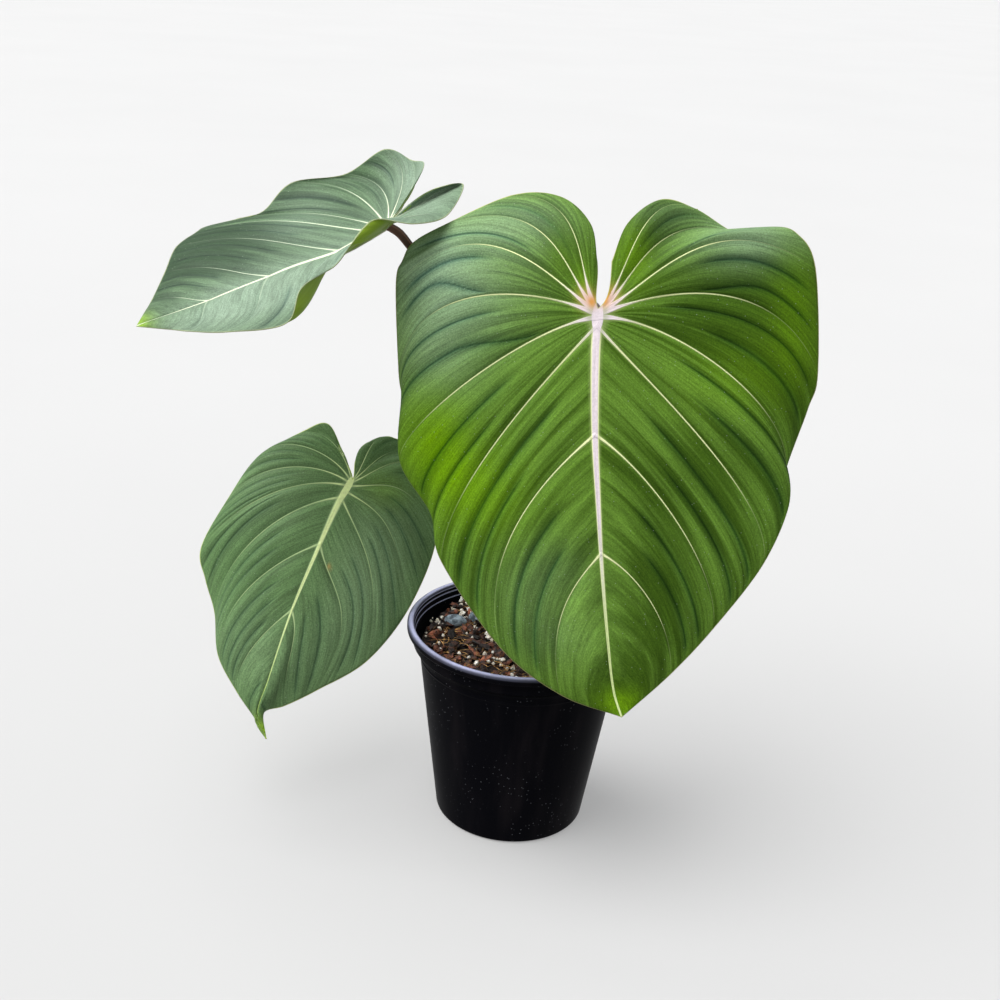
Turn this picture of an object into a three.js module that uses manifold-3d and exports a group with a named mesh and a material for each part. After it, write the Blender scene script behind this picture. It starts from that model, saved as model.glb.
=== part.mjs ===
// Philodendron gloriosum growing in a black nursery pot.
// Millimetres, +Z up, the front of the plant towards -Y. The origin is the centre of the
// pot's underside. Every leaf blade is a sheet lofted across its primary veins.
import * as THREE from "three";
import { mergeVertices } from "three/addons/utils/BufferGeometryUtils.js";
import Module from "manifold-3d";

const wasm = await Module();
wasm.setup();

// ---- Driving dimensions ----------------------------------------------------------------

const CLEARANCE = 0.3; // between pieces that touch

const POT = {
  height: 143,
  rimRadius: 78,
  lipDepth: 5.5,
  bandRadius: 74,
  bandBottom: 129,
  wallTopRadius: 69.3,
  wallTop: 125,
  baseRadius: 52,
  baseChamfer: 2.5,
  wall: 1.5,
  floor: 3,
  sides: 40,
  drainHoles: 8,
  drainHoleRadius: 5,
  drainRingRadius: 37,
};

const SOIL = { top: 128, sides: 32, rings: [67.9, 60, 50, 40, 30, 20, 10], swell: 1.6 };

const BLADE = {
  thickness: 1.0,
  hubDepth: 3.6,
  hubWidth: 4.4,
  tipDepth: 0.5,
  tipWidth: 1.4,
  puff: 3, // height of the panels between two primary veins
  columns: [0, 0.045, 0.14, 0.28, 0.45, 0.63, 0.82, 1],
  veinSteps: [0, 0.12, 0.5, 0.88],
  plainSteps: [0, 0.5],
};

const PETIOLE_SIDES = 10;
const RHIZOME_SIDES = 12;

// ---- Small tools -----------------------------------------------------------------------

const v3 = (p) => new THREE.Vector3(...p);
const lerp = THREE.MathUtils.lerp;
const rad = THREE.MathUtils.degToRad;

// A repeatable random number between low and high for each call.
function seededDraw(seed) {
  let state = seed;
  return (low, high) => {
    state = (state * 1664525 + 1013904223) % 4294967296;
    return low + ((high - low) * state) / 4294967296;
  };
}

// The smooth curve y(x) through the given points, read at x.
function curveThrough(xs, ys, x) {
  const last = xs.length - 1;
  let i = 0;
  while (i < last - 1 && x >= xs[i + 1]) i += 1;
  const slope = (k) => {
    const a = Math.max(k - 1, 0);
    const b = Math.min(k + 1, last);
    return (ys[b] - ys[a]) / (xs[b] - xs[a]);
  };
  const h = xs[i + 1] - xs[i];
  const f = (x - xs[i]) / h;
  return (
    (2 * f ** 3 - 3 * f ** 2 + 1) * ys[i] +
    (f ** 3 - 2 * f ** 2 + f) * h * slope(i) +
    (-2 * f ** 3 + 3 * f ** 2) * ys[i + 1] +
    (f ** 3 - f ** 2) * h * slope(i + 1)
  );
}

function indexedGeometry(points, index) {
  const geometry = new THREE.BufferGeometry();
  const flat = new Float32Array(points.length * 3);
  points.forEach((p, i) => flat.set([p.x, p.y, p.z], i * 3));
  geometry.setAttribute("position", new THREE.BufferAttribute(flat, 3));
  geometry.setIndex(index);
  return geometry;
}

function toSolid(geometry) {
  const bare = geometry.clone();
  bare.deleteAttribute("normal");
  bare.deleteAttribute("uv");
  const merged = mergeVertices(bare, 1e-4);
  return new wasm.Manifold(
    new wasm.Mesh({
      numProp: 3,
      vertProperties: new Float32Array(merged.attributes.position.array),
      triVerts: new Uint32Array(merged.index.array),
    }),
  );
}

function fromSolid(solid) {
  const mesh = solid.getMesh();
  const geometry = new THREE.BufferGeometry();
  geometry.setAttribute("position", new THREE.BufferAttribute(mesh.vertProperties, 3));
  geometry.setIndex(new THREE.BufferAttribute(mesh.triVerts, 1));
  return geometry;
}

// A round body along a smooth path. radiusAt gives its radius at 0..1 along the path.
function taperedTube(path, radiusAt, sides, steps, extra = 0) {
  const curve = new THREE.CatmullRomCurve3(path.map(v3), false, "centripetal");
  const frames = curve.computeFrenetFrames(steps, false);
  const points = [];
  const index = [];
  for (let i = 0; i <= steps; i += 1) {
    const centre = curve.getPointAt(i / steps);
    const r = radiusAt(i / steps) + extra;
    for (let j = 0; j < sides; j += 1) {
      const angle = (2 * Math.PI * j) / sides;
      points.push(
        centre
          .clone()
          .addScaledVector(frames.normals[i], r * Math.cos(angle))
          .addScaledVector(frames.binormals[i], r * Math.sin(angle)),
      );
    }
  }
  const start = points.push(curve.getPointAt(0).addScaledVector(frames.tangents[0], -extra)) - 1;
  const end = points.push(curve.getPointAt(1).addScaledVector(frames.tangents[steps], extra)) - 1;
  for (let j = 0; j < sides; j += 1) {
    const k = (j + 1) % sides;
    for (let i = 0; i < steps; i += 1) {
      const a = i * sides + j;
      const b = i * sides + k;
      index.push(a, b, b + sides, a, b + sides, a + sides);
    }
    index.push(start, k, j);
    index.push(end, steps * sides + j, steps * sides + k);
  }
  return indexedGeometry(points, index);
}

// ---- Leaf blades -----------------------------------------------------------------------
//
// A blade has its own frame: the joint with the petiole is at 0, y runs to the tip, z is the
// upper face's normal and x runs out to the blade's left half. The midrib is a smooth curve
// given as [y, x, z]. A station is one line from the midrib to the edge:
//   [root, left, right], and each side is
//   [leaving angle, out, along, lift, arriving angle, reach, rib width]
// with angles in degrees from the tipward direction. A station with a rib width is a primary
// vein. The others only shape the edge.

const FRONT_LEAF = {
  name: "leaf_front",
  joint: [31, -60, 383],
  tip: [65, -115, 144],
  face: [-0.05, -0.97, 0.22],
  push: 0.25,
  rise: 0,
  cup: 0.35,
  midrib: [
    [0, 0, 0],
    [25, 3, 2],
    [72, 6, 5],
    [113, 6.6, 6],
    [155, 6.7, 5],
    [199, 5.7, 2],
    [231, 4, -1],
    [248, 0, 0],
  ],
  stations: [
    [1, [160, -1, -25, -8, 179, 0.46, 0], [122, 9, -25, -8, 175, 0.56, 0]],
    [1.5, [154, 2, -48, -15, 170, 0.37, 0], [120, 20, -47, -16, 154, 0.37, 0]],
    [2, [150, 19, -65, -20, 130, 0.37, 0], [119, 40, -59, -21, 110, 0.36, 0]],
    [2.4, [143, 48, -68, -26, 93, 0.58, 0.9], [118, 61, -52, -30, 62, 0.5, 0.9]],
    [3.2, [136, 90, -54, -32, 77, 0.69, 1.2], [117, 84, -37, -35, 70, 0.6, 1.2]],
    [3.6, [133.5, 110, -45, -34, 74, 0.68, 0], [116, 104, -39, -31, 88, 0.7, 0]],
    [3.9, [132, 117, -35, -32, 65, 0.65, 0], [114.5, 118, -34, -26, 78, 0.6, 0]],
    [4.2, [129, 122, -21, -30, 51, 0.63, 1.5], [112, 128, -13, -25, 52, 0.59, 1.5]],
    [5, [122, 124, 32, -26, 15, 0.5, 1.7], [110, 127, 48, -22, 20, 0.52, 1.7]],
    [5.8, [106, 123, 52, -25, -5, 0.34, 0], [102, 120, 70, -21, 4, 0.42, 0]],
    [6.5, [90, 127, 87, -22, -3, 0.15, 1.8], [92, 105, 108, -19, -13, 0.3, 1.8]],
    [9, [66, 110, 120, -19, -8, 0.2, 0], [60, 106, 126, -13, -12, 0.28, 0]],
    [11, [48, 105, 149, -14, 4, 0.25, 1.7], [38, 89, 161, -12, -20, 0.22, 1.7]],
    [74, [54, 72, 204, -10, -10, 0.44, 1.4], [54, 58, 198, -10, -10, 0.28, 1.4]],
    [145, [44, 37, 234, -6, -7, 0.54, 1.0], [60, 31, 224, -6, -6, 0.4, 1.0]],
  ],
};

const UPPER_LEAF = {
  name: "leaf_upper_left",
  joint: [-98, 5, 412],
  tip: [-234, -80, 357],
  face: [-0.26, -0.2, 0.94],
  push: 0.33,
  rise: 0.3,
  cup: 0.65,
  midrib: [
    [0, 0, 0],
    [35, 0, -5.5],
    [72, 0, -3.5],
    [105, 0, -3],
    [143, 0, -2],
    [159, 0, -1],
    [170, 0, 0],
  ],
  stations: [
    [0, [178, 0, -8, 4, 175, 0.42, 0], [172, 3, -12, 6, 165, 0.42, 0]],
    [0.5, [168, 5, -32, 22, 150, 0.42, 0], [160, 11, -29, 12, 150, 0.42, 0]],
    [1, [160, 30, -35, 20, 100, 0.42, 0.7], [150, 23, -42, 12, 85, 0.42, 0.7]],
    [2, [145, 50, -27, 26, 70, 0.42, 0.9], [140, 40, -19, 5, 70, 0.42, 0.9]],
    [3, [125, 66, -2, 15, 40, 0.42, 1.0], [125, 47, 5, 11, 50, 0.42, 1.0]],
    [5, [100, 86, 28, 16, 25, 0.42, 1.1], [95, 41, 24, 20, 25, 0.42, 1.1]],
    [6.5, [88, 85, 52, 6, 18, 0.42, 0], [80, 45, 36, 20, 18, 0.42, 0]],
    [8, [75, 92, 68, 5, 12, 0.42, 1.1], [62, 51, 48, 16, 36, 0.38, 1.1]],
    [11, [68, 98, 88, 6, 8, 0.42, 0], [39, 40, 58, 3, 56, 0.48, 0]],
    [14, [62, 92, 97, 7, 5, 0.42, 1.1], [20, 62, 87, 8, 62, 0.27, 1.1]],
    [38, [54, 77, 116, 8, -5, 0.42, 0.9], [32, 68, 104, -5, 22, 0.3, 0.9]],
    [85, [50, 50, 134, 5, -8, 0.42, 0.7], [36, 48, 133, -4, -8, 0.42, 0.7]],
    [125, [48, 24, 152, 2, -12, 0.42, 0.5], [36, 26, 150, -3, -12, 0.42, 0.5]],
  ],
};

const LOWER_LEAF = {
  name: "leaf_lower_left",
  joint: [-121, 20, 232],
  tip: [-164, -56, 74],
  face: [0.09, -0.91, 0.41],
  push: 0.33,
  rise: 0,
  cup: 0.35,
  midrib: [
    [0, 0, 0],
    [16, 3.5, 1],
    [52, 7, 3],
    [95, 10.6, 4],
    [145, 11, 2],
    [171, 10.4, -1],
    [184, 0, -5],
  ],
  stations: [
    [0, [170, 12, -16, -3, 165, 0.42, 0], [175, -2, -17, -3, 165, 0.42, 0]],
    [0.5, [160, 28, -31, -6, 150, 0.42, 0], [165, 1, -27, -6, 140, 0.42, 0]],
    [1, [150, 43, -21, -11, 70, 0.42, 0.7], [150, 16, -36, -11, 90, 0.42, 0.7]],
    [2, [137, 67, 6, -16, 21, 0.39, 0.9], [142, 32, -33, -16, 105, 0.47, 0.9]],
    [3, [108, 77, 37, -18, 23, 0.39, 1.0], [128, 51, -12, -18, 39, 0.67, 1.0]],
    [5, [85, 84, 76, -18, 20, 0.36, 1.1], [104, 67, 21, -18, 40, 0.75, 1.1]],
    [9, [85, 74, 96, -17, 0, 0.42, 0], [78, 64, 71, -16, 28, 0.67, 1.1]],
    [14, [67, 61, 115, -15, -10, 0.35, 1.1], [42, 48, 114, -11, 8, 0.56, 1.1]],
    [48, [53, 49, 141, -9, -15, 0.37, 0.9], [27, 22, 143, -8, -12, 0.66, 0.9]],
    [96, [36, 29, 160, -5, -22, 0.31, 0.7], [36, 5, 159, -5, 23, 0.45, 0.7]],
    [160, [30, 12, 173, -4, -20, 0.42, 0], [30, -7, 168, -4, -20, 0.42, 0]],
  ],
};

// The blade's frame as a matrix from its own millimetres to the plant's.
function bladeMatrix(leaf) {
  const joint = v3(leaf.joint);
  const along = v3(leaf.tip).sub(joint).normalize();
  const face = v3(leaf.face);
  face.addScaledVector(along, -face.dot(along)).normalize();
  const out = along.clone().cross(face);
  return new THREE.Matrix4().makeBasis(out, along, face).setPosition(joint);
}

// The blade's mid-surface at station number u and share t of the way from midrib to edge.
function bladePoint(leaf, side, u, t) {
  const tip = leaf.midrib.at(-1);
  const tipStation = [40, 0, tip[0], tip[2], -20, 0.42, 0];
  const rows = leaf.stations.map((s) => (side > 0 ? s[1] : s[2])).concat([tipStation]);
  const roots = leaf.stations.map((s) => s[0]).concat([tip[0]]);
  const numbers = rows.map((_, k) => k);
  const read = (column) => curveThrough(numbers, rows.map((row) => row[column]), u);
  const k = Math.min(Math.floor(u), roots.length - 2);
  const root = lerp(roots[k], roots[k + 1], u - k);
  const ys = leaf.midrib.map((p) => p[0]);
  const start = new THREE.Vector3(
    curveThrough(ys, leaf.midrib.map((p) => p[1]), root),
    root,
    curveThrough(ys, leaf.midrib.map((p) => p[2]), root),
  );
  const end = new THREE.Vector3(side * read(1), read(2), read(3));
  const chord = Math.hypot(end.x - start.x, end.y - start.y);
  const leave = rad(read(0));
  const arrive = rad(read(4));
  const reach = read(5) * chord;
  const first = new THREE.Vector3(
    start.x + leaf.push * chord * side * Math.sin(leave),
    start.y + leaf.push * chord * Math.cos(leave),
    lerp(start.z, end.z, leaf.rise),
  );
  const second = new THREE.Vector3(
    end.x - reach * side * Math.sin(arrive),
    end.y - reach * Math.cos(arrive),
    lerp(start.z, end.z, leaf.cup),
  );
  return new THREE.CubicBezierCurve3(start, first, second, end).getPoint(t);
}

// Station numbers of the veins on one side, with the two ends of the blade.
function veinNumbers(leaf, side) {
  const veins = leaf.stations.map((s, k) => ((side > 0 ? s[1] : s[2])[6] > 0 ? k : -1));
  return [0, ...veins.filter((k) => k > 0), leaf.stations.length];
}

function ribWidth(leaf, side, k) {
  const station = leaf.stations[k];
  return station ? (side > 0 ? station[1] : station[2])[6] : 0;
}

// Height of the panel and depth of the ribs under it at one place of the blade.
function bladeRelief(leaf, side, u, t) {
  const veins = veinNumbers(leaf, side);
  let i = 0;
  while (i < veins.length - 2 && u >= veins[i + 1]) i += 1;
  const [before, after] = [veins[i], veins[i + 1]];
  const f = (u - before) / (after - before);
  const here = bladePoint(leaf, side, u, t);
  const gap = bladePoint(leaf, side, before, t).distanceTo(bladePoint(leaf, side, after, t));
  const puff = BLADE.puff * Math.min(gap / 35, 1) * 4 * f * (1 - f) * Math.sqrt(4 * t * (1 - t));
  const share = here.y / leaf.midrib.at(-1)[0];
  const fromMidrib = here.distanceTo(bladePoint(leaf, side, u, 0));
  const width = lerp(BLADE.hubWidth, BLADE.tipWidth, THREE.MathUtils.clamp(share, 0, 1));
  let depth =
    lerp(BLADE.hubDepth, BLADE.tipDepth, THREE.MathUtils.clamp(share * 1.6, 0, 1)) *
    Math.exp(-((fromMidrib / width) ** 2));
  for (const k of [before, after]) {
    const rib = ribWidth(leaf, side, k) * (1 - 0.8 * t);
    if (rib > 0) {
      const away = here.distanceTo(bladePoint(leaf, side, k, t));
      depth = Math.max(depth, 0.9 * rib * Math.exp(-((away / (1.3 * rib + 0.3)) ** 2)));
    }
  }
  return { puff, depth };
}

// The closed blade. grow widens it all round, to leave a gap to what it meets.
function bladeGeometry(leaf, grow = 0) {
  const count = BLADE.columns.length - 1;
  const width = 2 * count + 1;
  const stationCount = leaf.stations.length;
  const rows = [];
  for (let k = 0; k < stationCount; k += 1) {
    const ribbed = [k, k + 1].some((n) => ribWidth(leaf, 1, n) + ribWidth(leaf, -1, n) > 0);
    (ribbed ? BLADE.veinSteps : BLADE.plainSteps).forEach((f) => rows.push(k + f));
  }
  const middle = [];
  const depths = [];
  for (const u of rows) {
    for (let c = -count; c <= count; c += 1) {
      const side = c < 0 ? -1 : 1;
      const t = BLADE.columns[Math.abs(c)];
      const { puff, depth } = bladeRelief(leaf, side, u, t);
      const point = bladePoint(leaf, side, u, t);
      point.z += puff;
      middle.push(point);
      depths.push(depth);
    }
  }
  const tipIndex = middle.push(bladePoint(leaf, 1, stationCount, 0)) - 1;
  depths.push(0);
  const top = [];
  for (let r = 0; r < rows.length; r += 1) {
    for (let c = 0; c < width - 1; c += 1) {
      const a = r * width + c;
      if (r === rows.length - 1) {
        top.push(a, a + 1, tipIndex);
      } else {
        top.push(a, a + 1, a + 1 + width, a, a + 1 + width, a + width);
      }
    }
  }
  const sheet = indexedGeometry(middle, top);
  sheet.computeVertexNormals();
  const normals = sheet.attributes.normal;
  const upper = [];
  const lower = [];
  middle.forEach((point, i) => {
    const normal = new THREE.Vector3().fromBufferAttribute(normals, i);
    upper.push(point.clone().addScaledVector(normal, grow));
    lower.push(point.clone().addScaledVector(normal, -BLADE.thickness - depths[i] - grow));
  });
  const offset = middle.length;
  const index = [...top];
  for (let i = 0; i < top.length; i += 3) {
    index.push(top[i + 2] + offset, top[i + 1] + offset, top[i] + offset);
  }
  const rim = [];
  for (let c = 0; c < width; c += 1) rim.push(c);
  for (let r = 1; r < rows.length; r += 1) rim.push(r * width + width - 1);
  rim.push(tipIndex);
  for (let r = rows.length - 1; r > 0; r -= 1) rim.push(r * width);
  rim.forEach((a, i) => {
    const b = rim[(i + 1) % rim.length];
    index.push(b, a, a + offset, b, a + offset, b + offset);
  });
  return indexedGeometry([...upper, ...lower], index).applyMatrix4(bladeMatrix(leaf));
}

// ---- Petioles --------------------------------------------------------------------------

// The knee is the path's two last points, in the blade's own frame.
const PETIOLES = [
  {
    name: "petiole_front_leaf",
    leaf: FRONT_LEAF,
    base: 6.4,
    middle: 3.9,
    top: 3.2,
    path: [
      [27, 14, 130],
      [24, 20, 170],
      [23, 24, 220],
      [25, 14, 318],
      [29, -22, 372],
    ],
    knee: [
      [0.7, 6, -9],
      [0.7, 6, -3],
    ],
  },
  {
    name: "petiole_upper_left_leaf",
    leaf: UPPER_LEAF,
    base: 5.2,
    middle: 3.1,
    top: 2.4,
    path: [
      [6, 28, 130],
      [8, 32, 160],
      [7, 33, 205],
      [-12, 30, 285],
      [-54, 18, 354],
      [-84.5, 8, 393.5],
    ],
    knee: [
      [-1.5, -2.2, -9.5],
      [-0.5, 0, -4.6],
    ],
  },
  {
    name: "petiole_lower_left_leaf",
    leaf: LOWER_LEAF,
    base: 4.8,
    middle: 2.9,
    top: 2.3,
    path: [
      [-8, 42, 130],
      [-12, 45, 147],
      [-38, 46, 190],
      [-80, 42, 224],
      [-108, 34, 236],
    ],
    knee: [
      [1.2, 5, -9],
      [1.2, 5, -3],
    ],
  },
];

// A sheathing foot that narrows to a slim stalk, which thickens again under the blade.
function petioleRadius(petiole, s) {
  const foot = (petiole.base - petiole.middle) * Math.exp(-((s / 0.09) ** 2));
  const knee = 0.35 * Math.exp(-(((s - 0.97) / 0.04) ** 2));
  return lerp(petiole.middle, petiole.top, s) + foot + knee;
}

function petiolePath(petiole) {
  const matrix = bladeMatrix(petiole.leaf);
  const knee = petiole.knee.map((p) => v3(p).applyMatrix4(matrix).toArray());
  return [...petiole.path, ...knee];
}

const petioleTube = (petiole, extra = 0) =>
  taperedTube(petiolePath(petiole), (s) => petioleRadius(petiole, s), PETIOLE_SIDES, 22, extra);

// ---- Rhizome ---------------------------------------------------------------------------

const RHIZOME = {
  radius: 8,
  ringSpacing: 9,
  ringHeight: 0.9,
  path: [
    [-24, 50, 121],
    [-10, 42, 124],
    [8, 28, 126],
    [27, 12, 126],
    [42, -4, 127],
    [51, -15, 133],
    [55, -21, 143],
  ],
  roots: [
    { at: [-4, 36, 121], to: [-12, 28, 108] },
    { at: [16, 22, 122], to: [10, 8, 110] },
    { at: [30, 10, 122], to: [42, 18, 108] },
    { at: [40, -2, 122], to: [34, -16, 110] },
  ],
  rootRadius: 1.6,
};

// A creeping stem with a leaf scar ring at every node and a pointed growing tip.
function rhizomeRadius(s) {
  const length = 110;
  const ring = Math.abs(Math.cos((Math.PI * s * length) / RHIZOME.ringSpacing)) ** 6;
  const body = RHIZOME.radius + RHIZOME.ringHeight * ring;
  const tip = Math.sqrt(Math.max(1 - ((s - 0.72) / 0.285) ** 2, 0));
  return s < 0.72 ? body * Math.min(1, 0.55 + 9 * s) : body * tip + 0.5;
}

function rhizomeSolid(extra = 0) {
  const steps = 32;
  let solid = toSolid(taperedTube(RHIZOME.path, rhizomeRadius, RHIZOME_SIDES, steps, extra));
  for (const root of RHIZOME.roots) {
    const bend = v3(root.at).lerp(v3(root.to), 0.5).add(new THREE.Vector3(0, 0, 1.5));
    const path = [root.at, bend.toArray(), root.to];
    const radiusAt = (s) => RHIZOME.rootRadius * (1 - 0.5 * s);
    solid = solid.add(toSolid(taperedTube(path, radiusAt, 6, 4, extra)));
  }
  return solid;
}

// ---- Pot -------------------------------------------------------------------------------

const wallRadius = (z) => lerp(POT.baseRadius, POT.wallTopRadius, z / POT.wallTop);

function potProfile() {
  const { height, rimRadius, lipDepth, bandRadius, wall, floor, baseChamfer } = POT;
  const inner = (z) => wallRadius(z) - wall;
  return [
    [0, 0],
    [POT.baseRadius - baseChamfer, 0],
    [wallRadius(baseChamfer), baseChamfer],
    [wallRadius(118.4), 118.4],
    [wallRadius(119) + 0.35, 119],
    [wallRadius(120) + 0.35, 120],
    [wallRadius(120.6), 120.6],
    [POT.wallTopRadius, POT.wallTop],
    [bandRadius - 0.3, POT.bandBottom],
    [bandRadius, height - lipDepth],
    [rimRadius - 1.2, height - lipDepth],
    [rimRadius, height - lipDepth + 1.5],
    [rimRadius, height - 1.8],
    [rimRadius - 0.6, height - 0.6],
    [rimRadius - 1.8, height],
    [rimRadius - 4, height],
    [rimRadius - 4.6, height - 0.8],
    [rimRadius - 4.6, height - 4],
    [rimRadius - 5.2, height - 4.4],
    [rimRadius - 5.2, height - 8.5],
    [rimRadius - 5.8, height - 8.9],
    [rimRadius - 5.8, height - 13],
    [inner(POT.wallTop), POT.wallTop],
    [inner(floor), floor],
    [0, floor],
  ].map(([r, z]) => new THREE.Vector2(r, z));
}

// A lathe about Z instead of three's Y.
function latheZ(profile, sides) {
  return new THREE.LatheGeometry(profile, sides).rotateX(Math.PI / 2);
}

function potGeometry() {
  let solid = toSolid(latheZ(potProfile(), POT.sides));
  for (let i = 0; i < POT.drainHoles; i += 1) {
    const angle = (2 * Math.PI * (i + 0.5)) / POT.drainHoles;
    const hole = new THREE.CylinderGeometry(POT.drainHoleRadius, POT.drainHoleRadius, 12, 12);
    hole.rotateX(Math.PI / 2);
    hole.translate(
      POT.drainRingRadius * Math.cos(angle),
      POT.drainRingRadius * Math.sin(angle),
      0,
    );
    solid = solid.subtract(toSolid(hole));
  }
  return fromSolid(solid);
}

// ---- Soil ------------------------------------------------------------------------------

// The bigger bits that lie on the mix: [kind, x, y, length, width, height, turn, tilt].
const NAMED_BITS = [
  ["stone", -46, 20, 19, 13, 9, 10, 0],
  ["stone", -32, 28, 14, 11, 8, 60, 0],
  ["bark", -60, 19, 15, 5, 4, -20, 12],
  ["bark", -8, -26, 27, 9, 5, -35, 6],
  ["bark", -54, -6, 22, 8, 5, 70, 8],
  ["bark", -30, -27, 17, 11, 6, 25, 14],
  ["grain", -37, 38, 6, 6, 5, 0, 0],
  ["grain", -24, -13, 6, 5, 4, 0, 0],
  ["grain", -14, -43, 6, 6, 5, 0, 0],
  ["grain", -22, -31, 6, 5, 5, 0, 0],
];

const swellAt = (x, y) =>
  SOIL.swell * (Math.sin(x / 9 + 1.3) * Math.cos(y / 11 - 0.4) + 0.5 * Math.sin((x + y) / 5));

function bitGeometry([kind, x, y, length, width, height, turn, tilt]) {
  const shape =
    kind === "bark"
      ? new THREE.CylinderGeometry(0.5, 0.38, 1, 5, 1).rotateX(Math.PI / 2)
      : new THREE.IcosahedronGeometry(0.5, kind === "stone" ? 1 : 0);
  shape.scale(length, width, height);
  shape.rotateY(rad(tilt));
  shape.rotateZ(rad(turn));
  const sunk = kind === "bark" ? 0.12 : 0.08;
  return shape.translate(x, y, SOIL.top + swellAt(x, y) + height * sunk);
}

// Bark and perlite strewn over the mix, clear of the stem and of the bigger bits.
function strewnBits() {
  const draw = seededDraw(7);
  const bits = [...NAMED_BITS];
  const stem = new THREE.CatmullRomCurve3(RHIZOME.path.map(v3)).getPoints(30);
  let tries = 0;
  while (bits.length < 42 && tries < 4000) {
    tries += 1;
    const kind = bits.length % 5 < 3 ? "bark" : "grain";
    const r = 61 * Math.sqrt(draw(0, 1));
    const a = draw(0, 2 * Math.PI);
    const [x, y] = [r * Math.cos(a), r * Math.sin(a)];
    const length = kind === "bark" ? draw(8, 15) : draw(3.6, 5.6);
    const width = kind === "bark" ? length * draw(0.35, 0.6) : length * 0.9;
    const clearOfStem = stem.every((p) => Math.hypot(p.x - x, p.y - y) > 11 + length / 2);
    const clearOfBits = bits.every(
      (b) => Math.hypot(b[1] - x, b[2] - y) > 0.42 * (b[3] + length),
    );
    if (clearOfStem && clearOfBits && r + length / 2 < 66) {
      const height = kind === "bark" ? draw(3, 5) : length * 0.85;
      bits.push([kind, x, y, length, width, height, draw(0, 180), draw(-14, 14)]);
    }
  }
  return bits;
}

function soilSolid() {
  const bottom = POT.floor + CLEARANCE;
  const side = (z) => wallRadius(z) - POT.wall - 0.35;
  const profile = [
    [0, bottom],
    [side(bottom), bottom],
    [side(POT.wallTop), POT.wallTop - 0.2],
    ...SOIL.rings.map((r) => [r, SOIL.top]),
    [0, SOIL.top],
  ].map(([r, z]) => new THREE.Vector2(r, z));
  const body = latheZ(profile, SOIL.sides);
  const position = body.attributes.position;
  for (let i = 0; i < position.count; i += 1) {
    const [x, y, z] = [position.getX(i), position.getY(i), position.getZ(i)];
    const r = Math.hypot(x, y);
    if (z > SOIL.top - 0.1 && r < SOIL.rings[0] - 1) {
      position.setZ(i, z + swellAt(x, y));
    }
  }
  return strewnBits().reduce(
    (solid, bit) => solid.add(toSolid(bitGeometry(bit))),
    toSolid(body),
  );
}

// ---- The plant -------------------------------------------------------------------------

const plant = new THREE.Group();

function addPiece(name, geometry, color, roughness) {
  const material = new THREE.MeshStandardMaterial({ color, roughness, metalness: 0 });
  const mesh = new THREE.Mesh(geometry, material);
  mesh.name = name;
  plant.add(mesh);
}

const rhizome = rhizomeSolid();
const rhizomeRoom = rhizomeSolid(CLEARANCE);

let soil = soilSolid().subtract(rhizomeRoom);
for (const petiole of PETIOLES) {
  const room = toSolid(petioleTube(petiole, CLEARANCE));
  soil = soil.subtract(room);
  const blade = toSolid(bladeGeometry(petiole.leaf, CLEARANCE));
  const stalk = toSolid(petioleTube(petiole)).subtract(rhizomeRoom).subtract(blade);
  addPiece(petiole.name, fromSolid(stalk), "#6d4a34", 0.5);
}

addPiece("pot", potGeometry(), "#0c0c0e", 0.35);
addPiece("soil", fromSolid(soil), "#4a2c1c", 0.95);
addPiece("rhizome", fromSolid(rhizome), "#5c6b35", 0.6);
addPiece("leaf_front", bladeGeometry(FRONT_LEAF), "#4c8a2c", 0.55);
addPiece("leaf_upper_left", bladeGeometry(UPPER_LEAF), "#5f8a5c", 0.55);
addPiece("leaf_lower_left", bladeGeometry(LOWER_LEAF), "#5a8150", 0.55);

export default plant;
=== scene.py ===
"""Philodendron gloriosum in its black nursery pot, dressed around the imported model.

The scene is in metres, +Z up, with the front of the plant towards -Y. The tables of the leaves,
stalks and pot are in millimetres and become metres when a mesh is made.
"""
import logging
import math
from dataclasses import dataclass, field
from enum import Enum

import bpy
import numpy as np
from mathutils import Matrix, Vector


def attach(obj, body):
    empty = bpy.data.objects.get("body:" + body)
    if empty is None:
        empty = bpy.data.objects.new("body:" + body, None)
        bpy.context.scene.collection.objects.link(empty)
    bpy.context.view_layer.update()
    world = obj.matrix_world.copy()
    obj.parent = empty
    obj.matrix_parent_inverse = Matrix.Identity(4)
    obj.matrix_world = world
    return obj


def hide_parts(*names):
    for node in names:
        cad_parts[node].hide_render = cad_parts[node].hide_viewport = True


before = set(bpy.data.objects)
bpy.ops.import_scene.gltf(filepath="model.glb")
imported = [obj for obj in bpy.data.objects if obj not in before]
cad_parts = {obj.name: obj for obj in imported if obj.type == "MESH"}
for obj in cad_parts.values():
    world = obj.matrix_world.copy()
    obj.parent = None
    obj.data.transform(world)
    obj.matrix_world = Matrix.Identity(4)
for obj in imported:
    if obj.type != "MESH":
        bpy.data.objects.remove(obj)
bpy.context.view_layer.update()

log = logging.getLogger("philodendron")

Array = np.ndarray
Point = tuple[float, float, float]
Colour = tuple[float, float, float]
Material, Node, Piece = bpy.types.Material, bpy.types.Node, bpy.types.Object
Socket, Tree = bpy.types.NodeSocket, bpy.types.NodeTree
Draw = np.random.Generator

MM = 0.001
# The name of the map that follows the veins or the stalk.
LINES_MAP = "blade"
# A Mix node's sockets when it mixes colours.
FIRST_COLOUR, SECOND_COLOUR, MIXED_COLOUR = 6, 7, 2
# How finely a path is read before it is cut into equal lengths.
PARTS_OF_A_SPAN = 200
# Distances in halves of a line's width: past where it is seen, and where it isn't there.
FAR, ELSEWHERE = 9.0, 99.0


# ---- Small tools


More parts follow.
